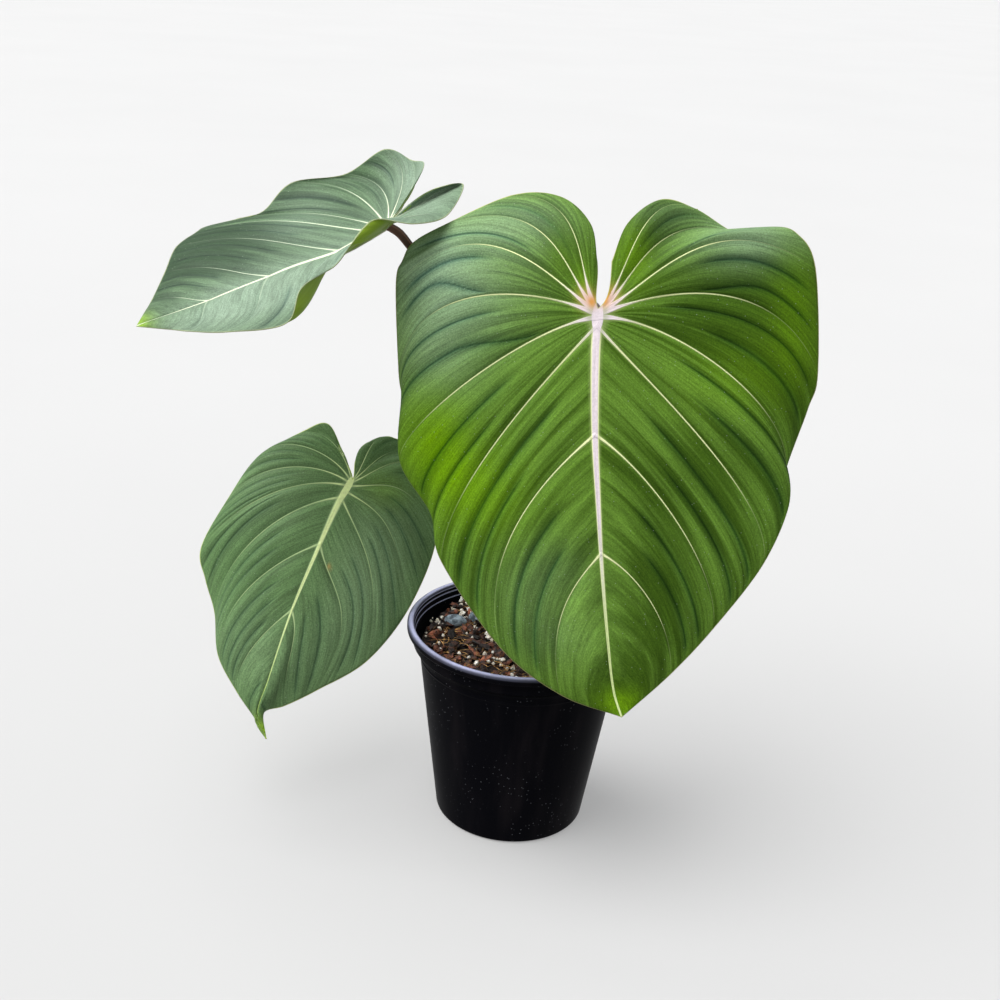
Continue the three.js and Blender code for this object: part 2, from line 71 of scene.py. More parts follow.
def smooth(low: float, high: float, x: Array) -> Array:
    """A soft step from 0 at low to 1 at high: 3f^2 - 2f^3 of the clipped share f."""
    f = np.clip((x - low) / (high - low), 0.0, 1.0)
    return f * f * (3.0 - 2.0 * f)


def circle(sides: int) -> Array:
    """Angles of equal sides round a circle, from 0."""
    return 2 * np.pi * np.arange(sides) / sides


def cubic(f: Array, start: Array, leaving: Array, end: Array, arriving: Array) -> Array:
    """A Hermite cubic, from its two ends and its slopes there.

    Args:
        f: shares of the span, from 0 to 1.
        start: where the cubic starts.
        leaving: its slope there, times the span.
        end: where it ends.
        arriving: its slope there, times the span.

    Returns:
        The places at f.
    """
    return (
        (2 * f**3 - 3 * f**2 + 1) * start
        + (f**3 - 2 * f**2 + f) * leaving
        + (-2 * f**3 + 3 * f**2) * end
        + (f**3 - f**2) * arriving
    )


def curve_through(xs: Array, ys: Array, x: Array) -> Array:
    """Reads the smooth curve y(x) through the given points.

    Each span is a cubic whose end slopes are those of the chord between the two neighbours.

    Args:
        xs: rising abscissas of the points.
        ys: their ordinates.
        x: where to read the curve.

    Returns:
        The ordinates at x.
    """
    xs, ys = np.asarray(xs, float), np.asarray(ys, float)
    last = len(xs) - 1
    before = np.maximum(np.arange(last + 1) - 1, 0)
    after = np.minimum(np.arange(last + 1) + 1, last)
    slope = (ys[after] - ys[before]) / (xs[after] - xs[before])
    i = np.clip(np.searchsorted(xs, x, side="right") - 1, 0, last - 1)
    span = xs[i + 1] - xs[i]
    return cubic((x - xs[i]) / span, ys[i], span * slope[i], ys[i + 1], span * slope[i + 1])


def smooth_path(points: Array, steps: int) -> tuple[Array, Array]:
    """A centripetal Catmull-Rom curve through points, read at equal lengths.

    Between two points the curve is a Hermite cubic. Its end slopes weigh the chords on either side
    by the square root of their lengths.

    Args:
        points: one row a point.
        steps: how many equal parts the curve is read in.

    Returns:
        The steps + 1 places on the curve, and the unit tangents there.
    """
    p = np.asarray(points, float)
    p = np.vstack([2 * p[0] - p[1], p, 2 * p[-1] - p[-2]])
    knot = np.linalg.norm(np.diff(p, axis=0), axis=1) ** 0.5
    count = len(p) - 3
    s = np.linspace(0, count, count * PARTS_OF_A_SPAN + 1)
    i = np.minimum(s.astype(int), count - 1)
    f = (s - i)[:, None]
    d0, d1, d2 = knot[i][:, None], knot[i + 1][:, None], knot[i + 2][:, None]
    a, b, c, d = p[i], p[i + 1], p[i + 2], p[i + 3]
    leaving = ((b - a) / d0 - (c - a) / (d0 + d1) + (c - b) / d1) * d1
    arriving = ((c - b) / d1 - (d - b) / (d1 + d2) + (d - c) / d2) * d1
    fine = cubic(f, b, leaving, c, arriving)
    length = np.concatenate([[0.0], np.cumsum(np.linalg.norm(np.diff(fine, axis=0), axis=1))])
    at = np.linspace(0.0, length[-1], steps + 1)
    places = np.stack([np.interp(at, length, fine[:, k]) for k in range(3)], 1)
    tangent = np.gradient(places, axis=0)
    return places, tangent / np.linalg.norm(tangent, axis=1)[:, None]


def grid_quads(rows: int, columns: int, closed: bool) -> Array:
    """Corner numbers of the quads of a grid whose points are stored row by row.

    Args:
        rows: number of rows of points.
        columns: points in a row.
        closed: whether the last column meets the first again.

    Returns:
        One row of four corner numbers a quad.
    """
    r = np.arange(rows - 1)[:, None]
    c = np.arange(columns if closed else columns - 1)[None, :]
    n = (c + 1) % columns
    quads = [r * columns + c, r * columns + n, (r + 1) * columns + n, (r + 1) * columns + c]
    return np.stack([q.ravel() for q in np.broadcast_arrays(*quads)], 1)


def end_fans(rings: int, sides: int) -> Array:
    """The fans that close the two ends of a stack of rings, stored one after another.

    Args:
        rings: number of rings.
        sides: points in a ring.

    Returns:
        Triangles. The first end's middle is the point that follows the last ring's points, and
        the second end's middle is the one after it.
    """
    j = np.arange(sides)
    k = (j + 1) % sides
    last, middle = (rings - 1) * sides, rings * sides
    first = np.stack([np.full(sides, middle), k, j], 1)
    second = np.stack([np.full(sides, middle + 1), last + j, last + k], 1)
    return np.vstack([first, second])


def turned_rings(rings: Array, sides: int) -> Array:
    """Rings about the z axis: (r cos a, r sin a, z) for each (r, z) and each angle a."""
    a, (r, z) = circle(sides), np.hsplit(rings, 2)
    return np.stack([r * np.cos(a), r * np.sin(a), z * np.ones_like(a)], -1)


def tube_mesh(centres: Array, across: Array, other: Array, radii: Array) -> tuple[Array, list]:
    """A closed tube: each ring is centre + radius * (cos a * across + sin a * other).

    Args:
        centres: one row a ring.
        across: unit vectors square to the path, one a ring.
        other: the second unit vectors, so that across x other runs along the path.
        radii: the radius at each ring (rows) and angle (columns).

    Returns:
        The points and the faces, with a fan over each end.
    """
    rings, sides = radii.shape
    a = circle(sides)
    ring = np.cos(a)[None, :, None] * across[:, None] + np.sin(a)[None, :, None] * other[:, None]
    points = (centres[:, None] + radii[..., None] * ring).reshape(-1, 3)
    faces = grid_quads(rings, sides, True).tolist() + end_fans(rings, sides).tolist()
    return np.vstack([points, centres[:1], centres[-1:]]), faces


def join_shapes(shapes: list[tuple[Array, list]]) -> tuple[Array, list]:
    """Puts several shapes into one list of points and one of faces.

    Args:
        shapes: the points and faces of each.

    Returns:
        All points and all faces, in the same order.
    """
    points, faces = np.empty((0, 3)), []
    for more, corners in shapes:
        faces += [[k + len(points) for k in face] for face in corners]
        points = np.vstack([points, more])
    return points, faces


def make_mesh_object(
    name: str,
    points_mm: Array,
    faces: list,
    values: dict[str, Array] | None = None,
    uv: Array | None = None,
) -> Piece:
    """Makes a smooth-shaded object at the origin from points in millimetres.

    Args:
        name: the piece's name.
        points_mm: one row a vertex.
        faces: lists of corner numbers.
        values: named numbers, one a vertex, kept as attributes.
        uv: one (u, v) a vertex, kept as the map of its lines.

    Returns:
        The object, linked into the scene.
    """
    mesh = bpy.data.meshes.new(name)
    mesh.from_pydata((np.asarray(points_mm) * MM).tolist(), [], faces)
    mesh.shade_smooth()
    for label, numbers in (values or {}).items():
        layer = mesh.attributes.new(label, "FLOAT", "POINT")
        layer.data.foreach_set("value", np.asarray(numbers, np.float32).ravel())
    if uv is not None:
        corner = np.empty(len(mesh.loops), np.int32)
        mesh.loops.foreach_get("vertex_index", corner)
        layer = mesh.uv_layers.new(name=LINES_MAP)
        layer.data.foreach_set("uv", np.asarray(uv, np.float32)[corner].ravel())
    mesh.validate()
    piece = bpy.data.objects.new(name, mesh)
    bpy.context.scene.collection.objects.link(piece)
    return piece


def place_piece(piece: Piece, node: str, finish: Material) -> None:
    """Dresses a piece, lets it ride on the plant's body and stand for its node.

    Args:
        piece: the object.
        node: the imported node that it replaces.
        finish: its material.
    """
    piece.data.materials.append(finish)
    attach(piece, "root")
    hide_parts(node)
    log.info("%s: %d faces, for node %s", piece.name, len(piece.data.polygons), node)


# ---- Finishes


class Sketch:
    """Adds and joins the nodes of one tree, and lays them out in rows."""

    def __init__(self, tree: Tree) -> None:
        """Keeps the tree to draw in."""
        self.tree = tree

    def add(self, kind: str, feeds: dict | None = None, **settings: object) -> Node:
        """Adds a node, clear of the others.

        Args:
            kind: the node's type.
            feeds: what its inputs get.
            settings: its properties, set before the inputs.

        Returns:
            The node.
        """
        row, place = divmod(len(self.tree.nodes), 12)
        node = self.tree.nodes.new(kind)
        node.location = (180 * place, -220 * row)
        for key, value in settings.items():
            setattr(node, key, value)
        for key, source in (feeds or {}).items():
            self.feed(node.inputs[key], source)
        return node

    def feed(self, socket: Socket, source: object) -> None:
        """Joins an input to its source, or sets it.

        Args:
            socket: the input.
            source: an output, a number or a colour.
        """
        if isinstance(source, Socket):
            self.tree.links.new(source, socket)
        elif isinstance(source, tuple) and socket.type == "RGBA":
            socket.default_value = (*source[:3], 1.0)
        else:
            socket.default_value = source

    def maths(self, operation: str, *terms: object) -> Socket:
        """The result of one Math node."""
        return self.add("ShaderNodeMath", dict(enumerate(terms)), operation=operation).outputs[0]

    def times(self, first: object, second: object) -> Socket:
        """The product of two numbers."""
        return self.maths("MULTIPLY", first, second)

    def plus(self, first: object, second: object) -> Socket:
        """The sum of two numbers."""
        return self.maths("ADD", first, second)

    def step(self, value: object, low: float, high: float) -> Socket:
        """A soft step of a number from 0 at low to 1 at high. Low may be above high."""
        ends = (low, high, 0.0, 1.0) if low < high else (high, low, 1.0, 0.0)
        feeds = dict(zip(("Value", "From Min", "From Max", "To Min", "To Max"), (value, *ends)))
        return self.add("ShaderNodeMapRange", feeds, interpolation_type="SMOOTHSTEP").outputs[0]

    def spread(self, value: object, low: float, high: float) -> Socket:
        """A number from 0..1 spread over low..high."""
        feeds = {"Value": value, "To Min": low, "To Max": high}
        return self.add("ShaderNodeMapRange", feeds).outputs["Result"]

    def blend(self, share: object, first: object, second: object, way: str = "MIX") -> Socket:
        """A mix of two colours, with so much of the second."""
        feeds = {"Factor": share, FIRST_COLOUR: first, SECOND_COLOUR: second}
        node = self.add("ShaderNodeMix", feeds, data_type="RGBA", blend_type=way)
        return node.outputs[MIXED_COLOUR]

    def tint(self, colour: object, by: object) -> Socket:
        """The colour times another one or a grey."""
        return self.blend(1.0, colour, by, "MULTIPLY")

    def number(self, name: str) -> Socket:
        """A mesh attribute's number."""
        return self.add("ShaderNodeAttribute", attribute_name=name).outputs["Fac"]

    def place(self) -> Socket:
        """The Object coordinates."""
        return self.add("ShaderNodeTexCoord").outputs["Object"]

    def lines(self) -> Socket:
        """The piece's own map, which follows a blade's veins or a stalk's length."""
        return self.add("ShaderNodeUVMap", uv_map=LINES_MAP).outputs[0]

    def axis(self, vector: object, name: str) -> Socket:
        """One part of a vector: X, Y or Z."""
        return self.add("ShaderNodeSeparateXYZ", {0: vector}).outputs[name]

    def noise(
        self, vector: object, scale: object, detail: float = 3.0, roughness: float = 0.55
    ) -> Socket:
        """Cloudy noise from 0 to 1, with so many clouds a metre."""
        feeds = {"Vector": vector, "Scale": scale, "Detail": detail, "Roughness": roughness}
        return self.add("ShaderNodeTexNoise", feeds).outputs["Fac"]

    def streaks(
        self, vector: object, scale: Point, detail: float = 3.0, roughness: float = 0.55
    ) -> Socket:
        """Cloudy noise from 0 to 1, with a scale of its own on each axis."""
        stretched = self.add("ShaderNodeMapping", {"Vector": vector, "Scale": scale}).outputs[0]
        return self.noise(stretched, 1.0, detail, roughness)

    def grains(self, vector: object, scale: float) -> Socket:
        """Distance to the nearest of many scattered grains, in spacings."""
        node = self.add("ShaderNodeTexVoronoi", {"Vector": vector, "Scale": scale})
        return node.outputs["Distance"]

    def relief(self, shader: Node, height: object, depth_mm: float) -> None:
        """Feeds a height from 0 to 1 through a Bump node into the shader's normal."""
        feeds = {"Strength": 1.0, "Distance": depth_mm * MM, "Height": height}
        self.feed(shader.inputs["Normal"], self.add("ShaderNodeBump", feeds).outputs[0])


def start_group(name: str, inputs: dict[str, object], outputs: tuple[str, ...]) -> tuple:
    """Starts a node group with named inputs and outputs.

    Args:
        name: the group's name.
        inputs: name to default, a tuple for a colour and a number for a value.
        outputs: names. Colour is a colour, and the others are numbers.

    Returns:
        The group's sketch, the sockets that it is given and those of its result.
    """
    tree = bpy.data.node_groups.new(name, "ShaderNodeTree")
    for label, value in inputs.items():
        kind = "NodeSocketColor" if isinstance(value, tuple) else "NodeSocketFloat"
        socket = tree.interface.new_socket(label, in_out="INPUT", socket_type=kind)
        socket.default_value = (*value, 1.0) if isinstance(value, tuple) else value
    for label in outputs:
        kind = "NodeSocketColor" if label == "Colour" else "NodeSocketFloat"
        tree.interface.new_socket(label, in_out="OUTPUT", socket_type=kind)
    sketch = Sketch(tree)
    given, result = sketch.add("NodeGroupInput"), sketch.add("NodeGroupOutput")
    return sketch, given.outputs, result.inputs


def start_material(name: str, **constants: object) -> tuple[Material, Sketch, Node]:
    """A material with a Principled shader whose constant sockets are set directly.

    Args:
        name: the material's name.
        constants: socket name, with _ for a space, to number or colour.

    Returns:
        The material, its sketch and the shader.
    """
    material = bpy.data.materials.new(name)
    material.use_nodes = True
    material.node_tree.nodes.clear()
    sketch = Sketch(material.node_tree)
    feeds = {label.replace("_", " "): value for label, value in constants.items()}
    shader = sketch.add("ShaderNodeBsdfPrincipled", feeds)
    sketch.add("ShaderNodeOutputMaterial", {"Surface": shader.outputs[0]})
    return material, sketch, shader


class VeinedSkin:
    """The look shared by the leaf blades, read from the blade's attributes and its map.

    A fade is (where a line starts to show, where it shows fully). Veins, midrib and pleats are
    measured in halves of their own width, the joint and the edge in millimetres.
    """

    colours = (
        "Deep", "Fresh", "Painted_sheen", "Sunlit", "Vein", "Halo", "Joint", "Midrib tip", "Edge",
        "Under",
    )
    pleat_fade = (1.3, 0.0)
    halo_fade = (3.2, 1.0)
    vein_fade = (1.35, 0.8)
    hub_fade = (32.0, 8.0)
    fringe_fade = (2.3, 1.1)
    line_fade = (1.4, 1.02)
    line_start = (9.0, 24.0)
    midrib_fade = (1.0, 0.8)
    midrib_turn = (110.0, 200.0)
    edge_fade = (0.75, 0.25)
    dust_fade = (0.11, 0.05)
    # Tints of the painted shade in the dips and along the pleats.
    painted_dip_tint = (0.3, 0.42, 0.5)
    painted_pleat_tint = (0.28, 0.4, 0.42)
    blush = (0.75, 0.36, 0.1)
    dust = (0.5, 0.6, 0.45)

    def __init__(self) -> None:
        """Starts the group and draws the patterns and lines that its parts share."""
        inputs = dict.fromkeys(self.colours, (0.1, 0.2, 0.05))
        inputs |= {"Vein strength": 1.0, "Dip shade": 1.0}
        self.sketch, self.given, self.result = start_group(
            "veined blade", inputs, ("Colour", "Roughness", "Height")
        )
        sketch = self.sketch
        lines = sketch.lines()
        self.streak = sketch.streaks(lines, (620.0, 16.0, 1.0), 3.0, 0.6)
        self.fine = sketch.streaks(lines, (1500.0, 60.0, 1.0), 2.0)
        self.broad = sketch.streaks(lines, (120.0, 9.0, 1.0), 2.0)
        pleat = sketch.maths("ABSOLUTE", sketch.number("pleat"))
        pleat = sketch.times(sketch.step(pleat, *self.pleat_fade), 0.5)
        self.pleat = sketch.times(pleat, sketch.number("pleat_on"))
        vein = sketch.step(sketch.number("vein"), *self.vein_fade)
        vein = sketch.times(vein, self.given["Vein strength"])
        self.vein = sketch.times(vein, sketch.number("vein_on"))

    def make(self) -> Tree:
        """Draws the group: the green ground, the pale lines over it, the edge and the dust.

        Roughness is fine grain and slow clouds. Height is streaks and grain, with the veins
        raised and the pleats sunk.

        Returns:
            The node group, with Colour, Roughness and Height.
        """
        sketch, place = self.sketch, self.sketch.place()
        colour = self.pale_lines(self.ground())
        colour = sketch.blend(sketch.number("blush"), colour, self.blush)
        edge = sketch.step(sketch.number("from_edge"), *self.edge_fade)
        colour = sketch.blend(sketch.times(edge, 0.8), colour, self.given["Edge"])
        dust = sketch.times(sketch.step(sketch.grains(place, 260.0), *self.dust_fade), 0.28)
        sketch.feed(self.result["Colour"], sketch.blend(dust, colour, self.dust))
        grain = sketch.noise(place, 1500.0, 2.0)
        cloud = sketch.spread(sketch.noise(place, 22.0), -0.05, 0.05)
        rough = sketch.plus(sketch.spread(grain, 0.4, 0.52), cloud)
        sketch.feed(self.result["Roughness"], rough)
        grain = sketch.spread(grain, 0.0, 0.1)
        height = sketch.plus(sketch.spread(self.streak, 0.0, 0.34), grain)
        height = sketch.plus(height, sketch.times(self.vein, 0.5))
        height = sketch.maths("SUBTRACT", height, sketch.times(self.pleat, 0.9))
        sketch.feed(self.result["Height"], height)
        return sketch.tree

    def ground(self) -> Socket:
        """Draws the green between the veins, and the underside.

        Colour goes from the Deep colour to the Fresh one in bands along the veins, and to the Deep
        colour where the blade paints shade. It takes a painted silvery sheen and a painted sunlit
        glow where the blade says so, is streaked, is specked with painted glints of the velvet's
        hairs, and darkens with painted shade in the dips and along the pleats.

        Returns:
            The colour.
        """
        sketch, given = self.sketch, self.given
        # Painted shade: where the blade paints it, the green goes to the Deep colour.
        painted_shade = sketch.times(sketch.number("painted_shade"), 0.45)
        fresh = sketch.step(sketch.maths("SUBTRACT", self.broad, painted_shade), 0.3, 0.62)
        colour = sketch.blend(fresh, given["Deep"], given["Fresh"])
        patchy = sketch.spread(self.broad, 0.5, 1.3)
        # Painted light: a silvery sheen on the velvet, and a sunlit glow shining through the
        # blade.
        for name in ("Painted_sheen", "Sunlit"):
            share = sketch.times(sketch.number(name.lower()), patchy)
            colour = sketch.blend(share, colour, given[name])
        # Painted glints of light on the velvet's hairs: fine specks that lighten and darken.
        hair_glints = sketch.noise(sketch.place(), 1100.0, 2.0, 0.7)
        for pattern, reach in ((self.streak, 0.5), (self.fine, 0.45), (hair_glints, 0.65)):
            colour = sketch.tint(colour, sketch.spread(pattern, 1 - reach, 1 + reach))
        # Painted shade: darker and bluer where the surface sinks into valleys and pleats.
        painted_dip_shade = sketch.times(sketch.number("painted_dip_shade"), given["Dip shade"])
        colour = sketch.blend(painted_dip_shade, colour, sketch.tint(colour, self.painted_dip_tint))
        # Painted shade along each pleat's crease.
        colour = sketch.blend(self.pleat, colour, sketch.tint(colour, self.painted_pleat_tint))
        below = sketch.tint(given["Under"], sketch.spread(self.streak, 0.8, 1.2))
        return sketch.blend(sketch.number("underside"), colour, below)

    def pale_lines(self, colour: Socket) -> Socket:
        """Draws the veins with their halos, then the midrib with its fringe and bright sides.

        Args:
            colour: the green under the lines.

        Returns:
            The colour.
        """
        sketch, given = self.sketch, self.given
        on = sketch.times(sketch.number("vein_on"), 0.65)
        halo = sketch.times(sketch.step(sketch.number("vein"), *self.halo_fade), on)
        colour = sketch.blend(halo, colour, given["Halo"])
        joint = sketch.number("from_joint")
        pale = sketch.blend(sketch.step(joint, *self.hub_fade), given["Vein"], given["Joint"])
        pale = sketch.tint(pale, sketch.spread(self.fine, 0.88, 1.12))
        colour = sketch.blend(self.vein, colour, pale)
        midrib = sketch.number("midrib")
        fringe = sketch.step(midrib, *self.fringe_fade)
        fringe = sketch.times(fringe, sketch.spread(self.fine, 0.1, 0.9))
        colour = sketch.blend(fringe, colour, given["Halo"])
        away = sketch.times(sketch.step(joint, *self.line_start), 0.85)
        line = sketch.times(sketch.step(midrib, *self.line_fade), away)
        colour = sketch.blend(line, colour, given["Vein"])
        far = sketch.step(joint, *self.midrib_turn)
        speck = sketch.spread(sketch.noise(sketch.place(), 700.0, 2.0), 0.78, 1.16)
        band = sketch.tint(sketch.blend(far, given["Joint"], given["Midrib tip"]), speck)
        return sketch.blend(sketch.step(midrib, *self.midrib_fade), colour, band)


@dataclass(frozen=True)
class BladeFinish:
    """The velvety skin of one leaf blade."""

    name: str
    colours: dict[str, object]
    sheen: float = 0.0
    gloss: float = 0.12
    sheen_roughness: float = 0.45
    sheen_tint: Colour = (0.86, 1.0, 0.84)
    relief_mm: float = 0.35

    def make(self, group: Tree) -> Material:
        """Builds the material around the shared blade group.

        Args:
            group: the shared group.

        Returns:
            The material.
        """
        material, sketch, shader = start_material(
            self.name,
            Sheen_Weight=self.sheen,
            Sheen_Roughness=self.sheen_roughness,
            Sheen_Tint=self.sheen_tint,
            Specular_IOR_Level=self.gloss,
        )
        node = sketch.add("ShaderNodeGroup", self.colours, node_tree=group)
        sketch.feed(shader.inputs["Base Color"], node.outputs["Colour"])
        sketch.feed(shader.inputs["Roughness"], node.outputs["Roughness"])
        sketch.relief(shader, node.outputs["Height"], self.relief_mm)
        return material


def mottle_group() -> Tree:
    """Two colours in cloudy patches and fine grains, used by the mix and the creeping stem.

    Height is large noise plus a little small noise. The colours' share is that sum, steepened.

    Returns:
        The node group, with Colour and Height.
    """
    sketch, given, result = start_group(
        "mottle",
        {"Dark": (0.02, 0.01, 0.01), "Light": (0.2, 0.1, 0.05), "Patch": 60.0, "Grain": 900.0},
        ("Colour", "Height"),
    )
    place = sketch.place()
    patch = sketch.noise(place, given["Patch"], 4.0, 0.5)
    grain = sketch.noise(place, given["Grain"], 4.0, 0.5)
    both = sketch.plus(patch, sketch.spread(grain, -0.2, 0.2))
    mask = sketch.step(both, 0.36, 0.66)
    sketch.feed(result["Colour"], sketch.blend(mask, given["Dark"], given["Light"]))
    sketch.feed(result["Height"], sketch.times(both, 0.8))
    return sketch.tree


@dataclass(frozen=True)
class MottledFinish:
    """Earth, bark, coir, perlite or stone: two colours in patches, rough, with a grain.

    Patch and grain are clouds a metre. Shades is how dark and how light a single bit may be.
    """

    name: str
    dark: Colour
    light: Colour
    patch: float
    grain: float
    roughness: float
    relief_mm: float
    shades: tuple[float, float] = (0.08, 2.0)

    def make(self, group: Tree) -> Material:
        """Builds the material from the mottle and each bit's own shade.

        Args:
            group: the mottle group.

        Returns:
            The material.
        """
        material, sketch, shader = start_material(self.name, Roughness=self.roughness)
        values = {"Dark": self.dark, "Light": self.light, "Patch": self.patch, "Grain": self.grain}
        node = sketch.add("ShaderNodeGroup", values, node_tree=group)
        shade = sketch.spread(sketch.number("shade"), *self.shades)
        sketch.feed(shader.inputs["Base Color"], sketch.tint(node.outputs["Colour"], shade))
        sketch.relief(shader, node.outputs["Height"], self.relief_mm)
        return material


@dataclass(frozen=True)
class StalkFinish:
    """A petiole's skin: brownish red with pale lines along its two ridges and fine streaks."""

    name: str = "stalk skin"
    dark: Colour = (0.04, 0.012, 0.008)
    light: Colour = (0.11, 0.035, 0.02)
    line: Colour = (0.34, 0.15, 0.11)
    ridge_strength: float = 0.75
    knee_strength: float = 0.3
    roughness: float = 0.42
    relief_mm: float = 0.25

    def make(self) -> Material:
        """Builds the material from the stalk's own map, its ridges and its knee.

        Returns:
            The material.
        """
        material, sketch, shader = start_material(self.name, Roughness=self.roughness)
        streak = sketch.streaks(sketch.lines(), (44.0, 9.0, 1.0), 4.0, 0.6)
        patch = sketch.noise(sketch.place(), 45.0, 3.0)
        share = sketch.plus(sketch.spread(streak, -0.3, 0.3), patch)
        colour = sketch.blend(sketch.step(share, 0.3, 0.75), self.dark, self.light)
        for name, strength in (("ridge", self.ridge_strength), ("knee", self.knee_strength)):
            pale = sketch.times(sketch.number(name), strength)
            colour = sketch.blend(pale, colour, self.line)
        sketch.feed(shader.inputs["Base Color"], colour)
        sketch.relief(shader, streak, self.relief_mm)
        return material


@dataclass(frozen=True)
class PotFinish:
    """Black moulded plastic with a painted highlight on the rim, fine dust and faint flow marks.

    The painted highlight of the sky lies on the rim's crown, which starts at rim_mm, brightest
    about its crest, a circle of radius crest_mm, and on the ridges, the inner steps' heights,
    which show inside the radius inner_mm.
    """

    name: str = "black pot plastic"
    body: Colour = (0.003, 0.003, 0.0045)
    painted_highlight: Colour = (0.68, 0.7, 1.0)
    dust: Colour = (0.3, 0.31, 0.34)
    flow: Colour = (0.02, 0.016, 0.018)
    rim_mm: float = 142.0
    crest_mm: float = 75.4
    inner_mm: float = 73.6
    ridges_mm: tuple[float, ...] = (141.0, 138.4, 134.2)
    gloss: float = 0.02
    relief_mm: float = 0.12

    def make(self) -> Material:
        """Builds the material from the height on the pot, the distance from its axis and noise.

        Returns:
            The material.
        """
        material, sketch, shader = start_material(
            self.name, Roughness=0.4, Specular_IOR_Level=self.gloss
        )
        place = sketch.place()
        cloud = sketch.noise(place, 35.0, 4.0)
        colour = self.draw_painted_highlights(sketch, place, cloud)
        patch = sketch.step(sketch.noise(place, 28.0, 2.0), 0.42, 0.6)
        dust = sketch.times(sketch.step(sketch.grains(place, 330.0), 0.17, 0.07), patch)
        colour = sketch.blend(sketch.times(dust, 0.35), colour, self.dust)
        flow = sketch.streaks(place, (60.0, 60.0, 9.0))
        colour = sketch.blend(sketch.times(sketch.step(flow, 0.45, 0.8), 0.35), colour, self.flow)
        sketch.feed(shader.inputs["Base Color"], colour)
        rough = sketch.plus(sketch.spread(cloud, 0.24, 0.4), sketch.times(dust, 0.3))
        sketch.feed(shader.inputs["Roughness"], rough)
        fine = sketch.spread(sketch.noise(place, 900.0, 2.0), 0.0, 0.12)
        sketch.relief(shader, sketch.plus(flow, fine), self.relief_mm)
        return material

    def draw_painted_highlights(self, sketch: Sketch, place: Socket, cloud: Socket) -> Socket:
        """Draws the black plastic with painted highlights of the sky on its crest and its inner
        steps.

        Args:
            sketch: the material's sketch.
            place: the Object coordinates.
            cloud: slow noise.

        Returns:
            The colour.
        """
        flat = {axis: sketch.axis(place, axis) for axis in "XY"}
        flat = {0: sketch.add("ShaderNodeCombineXYZ", flat).outputs[0]}
        radius = sketch.add("ShaderNodeVectorMath", flat, operation="LENGTH").outputs["Value"]
        height = sketch.axis(place, "Z")
        # Painted highlight of the sky on the crown, brightest about the crest, broken by slow
        # noise.
        rim = sketch.step(height, (self.rim_mm - 1.3) * MM, self.rim_mm * MM)
        crest = sketch.maths("ABSOLUTE", sketch.maths("SUBTRACT", radius, self.crest_mm * MM))
        crest = sketch.step(crest, 2.4 * MM, 0.3 * MM)
        rim = sketch.times(rim, sketch.spread(crest, 0.12, 1.0))
        rim = sketch.times(rim, sketch.spread(cloud, 0.45, 1.0))
        colour = sketch.blend(rim, self.body, self.painted_highlight)
        # Painted highlights along the edges of the inner steps.
        inner = sketch.step(radius, (self.inner_mm + 0.2) * MM, self.inner_mm * MM)
        for ridge in self.ridges_mm:
            apart = sketch.maths("ABSOLUTE", sketch.maths("SUBTRACT", height, ridge * MM))
            line = sketch.times(sketch.step(apart, 0.6 * MM, 0.15 * MM), inner)
            colour = sketch.blend(sketch.times(line, 0.7), colour, self.painted_highlight)
        return colour


@dataclass(frozen=True)
class StemFinish:
    """The creeping stem's skin: olive green and brown, with scar lines."""

    name: str = "creeping stem skin"
    green: Colour = (0.09, 0.12, 0.035)
    brown: Colour = (0.1, 0.055, 0.025)
    scar: Colour = (0.16, 0.1, 0.05)

    def make(self, group: Tree) -> Material:
        """Builds the material from the mottle and the scar numbers.

        Args:
            group: the mottle group.

        Returns:
            The material.
        """
        material, sketch, shader = start_material(self.name, Roughness=0.6)
        values = {"Dark": self.brown, "Light": self.green, "Patch": 55.0, "Grain": 700.0}
        node = sketch.add("ShaderNodeGroup", values, node_tree=group)
        scar = sketch.times(sketch.number("scar"), 0.8)
        colour = sketch.blend(scar, node.outputs["Colour"], self.scar)
        sketch.feed(shader.inputs["Base Color"], colour)
        sketch.relief(shader, node.outputs["Height"], 0.5)
        return material


# ---- Leaf blades


class Side(Enum):
    """The two halves of a blade: LEFT lies on the blade frame's +x."""

    LEFT = 1
    RIGHT = -1


@dataclass(frozen=True)
class Patch:
    """A soft oval patch on a blade, in the blade's own millimetres."""

    x: float
    y: float
    wide: float
    long: float
    strength: float

    def at(self, x: Array, y: Array) -> Array:
        """Strength times the bell exp(-(dx/wide)^2 - (dy/long)^2)."""
        bell = np.exp(-(((x - self.x) / self.wide) ** 2) - ((y - self.y) / self.long) ** 2)
        return self.strength * bell


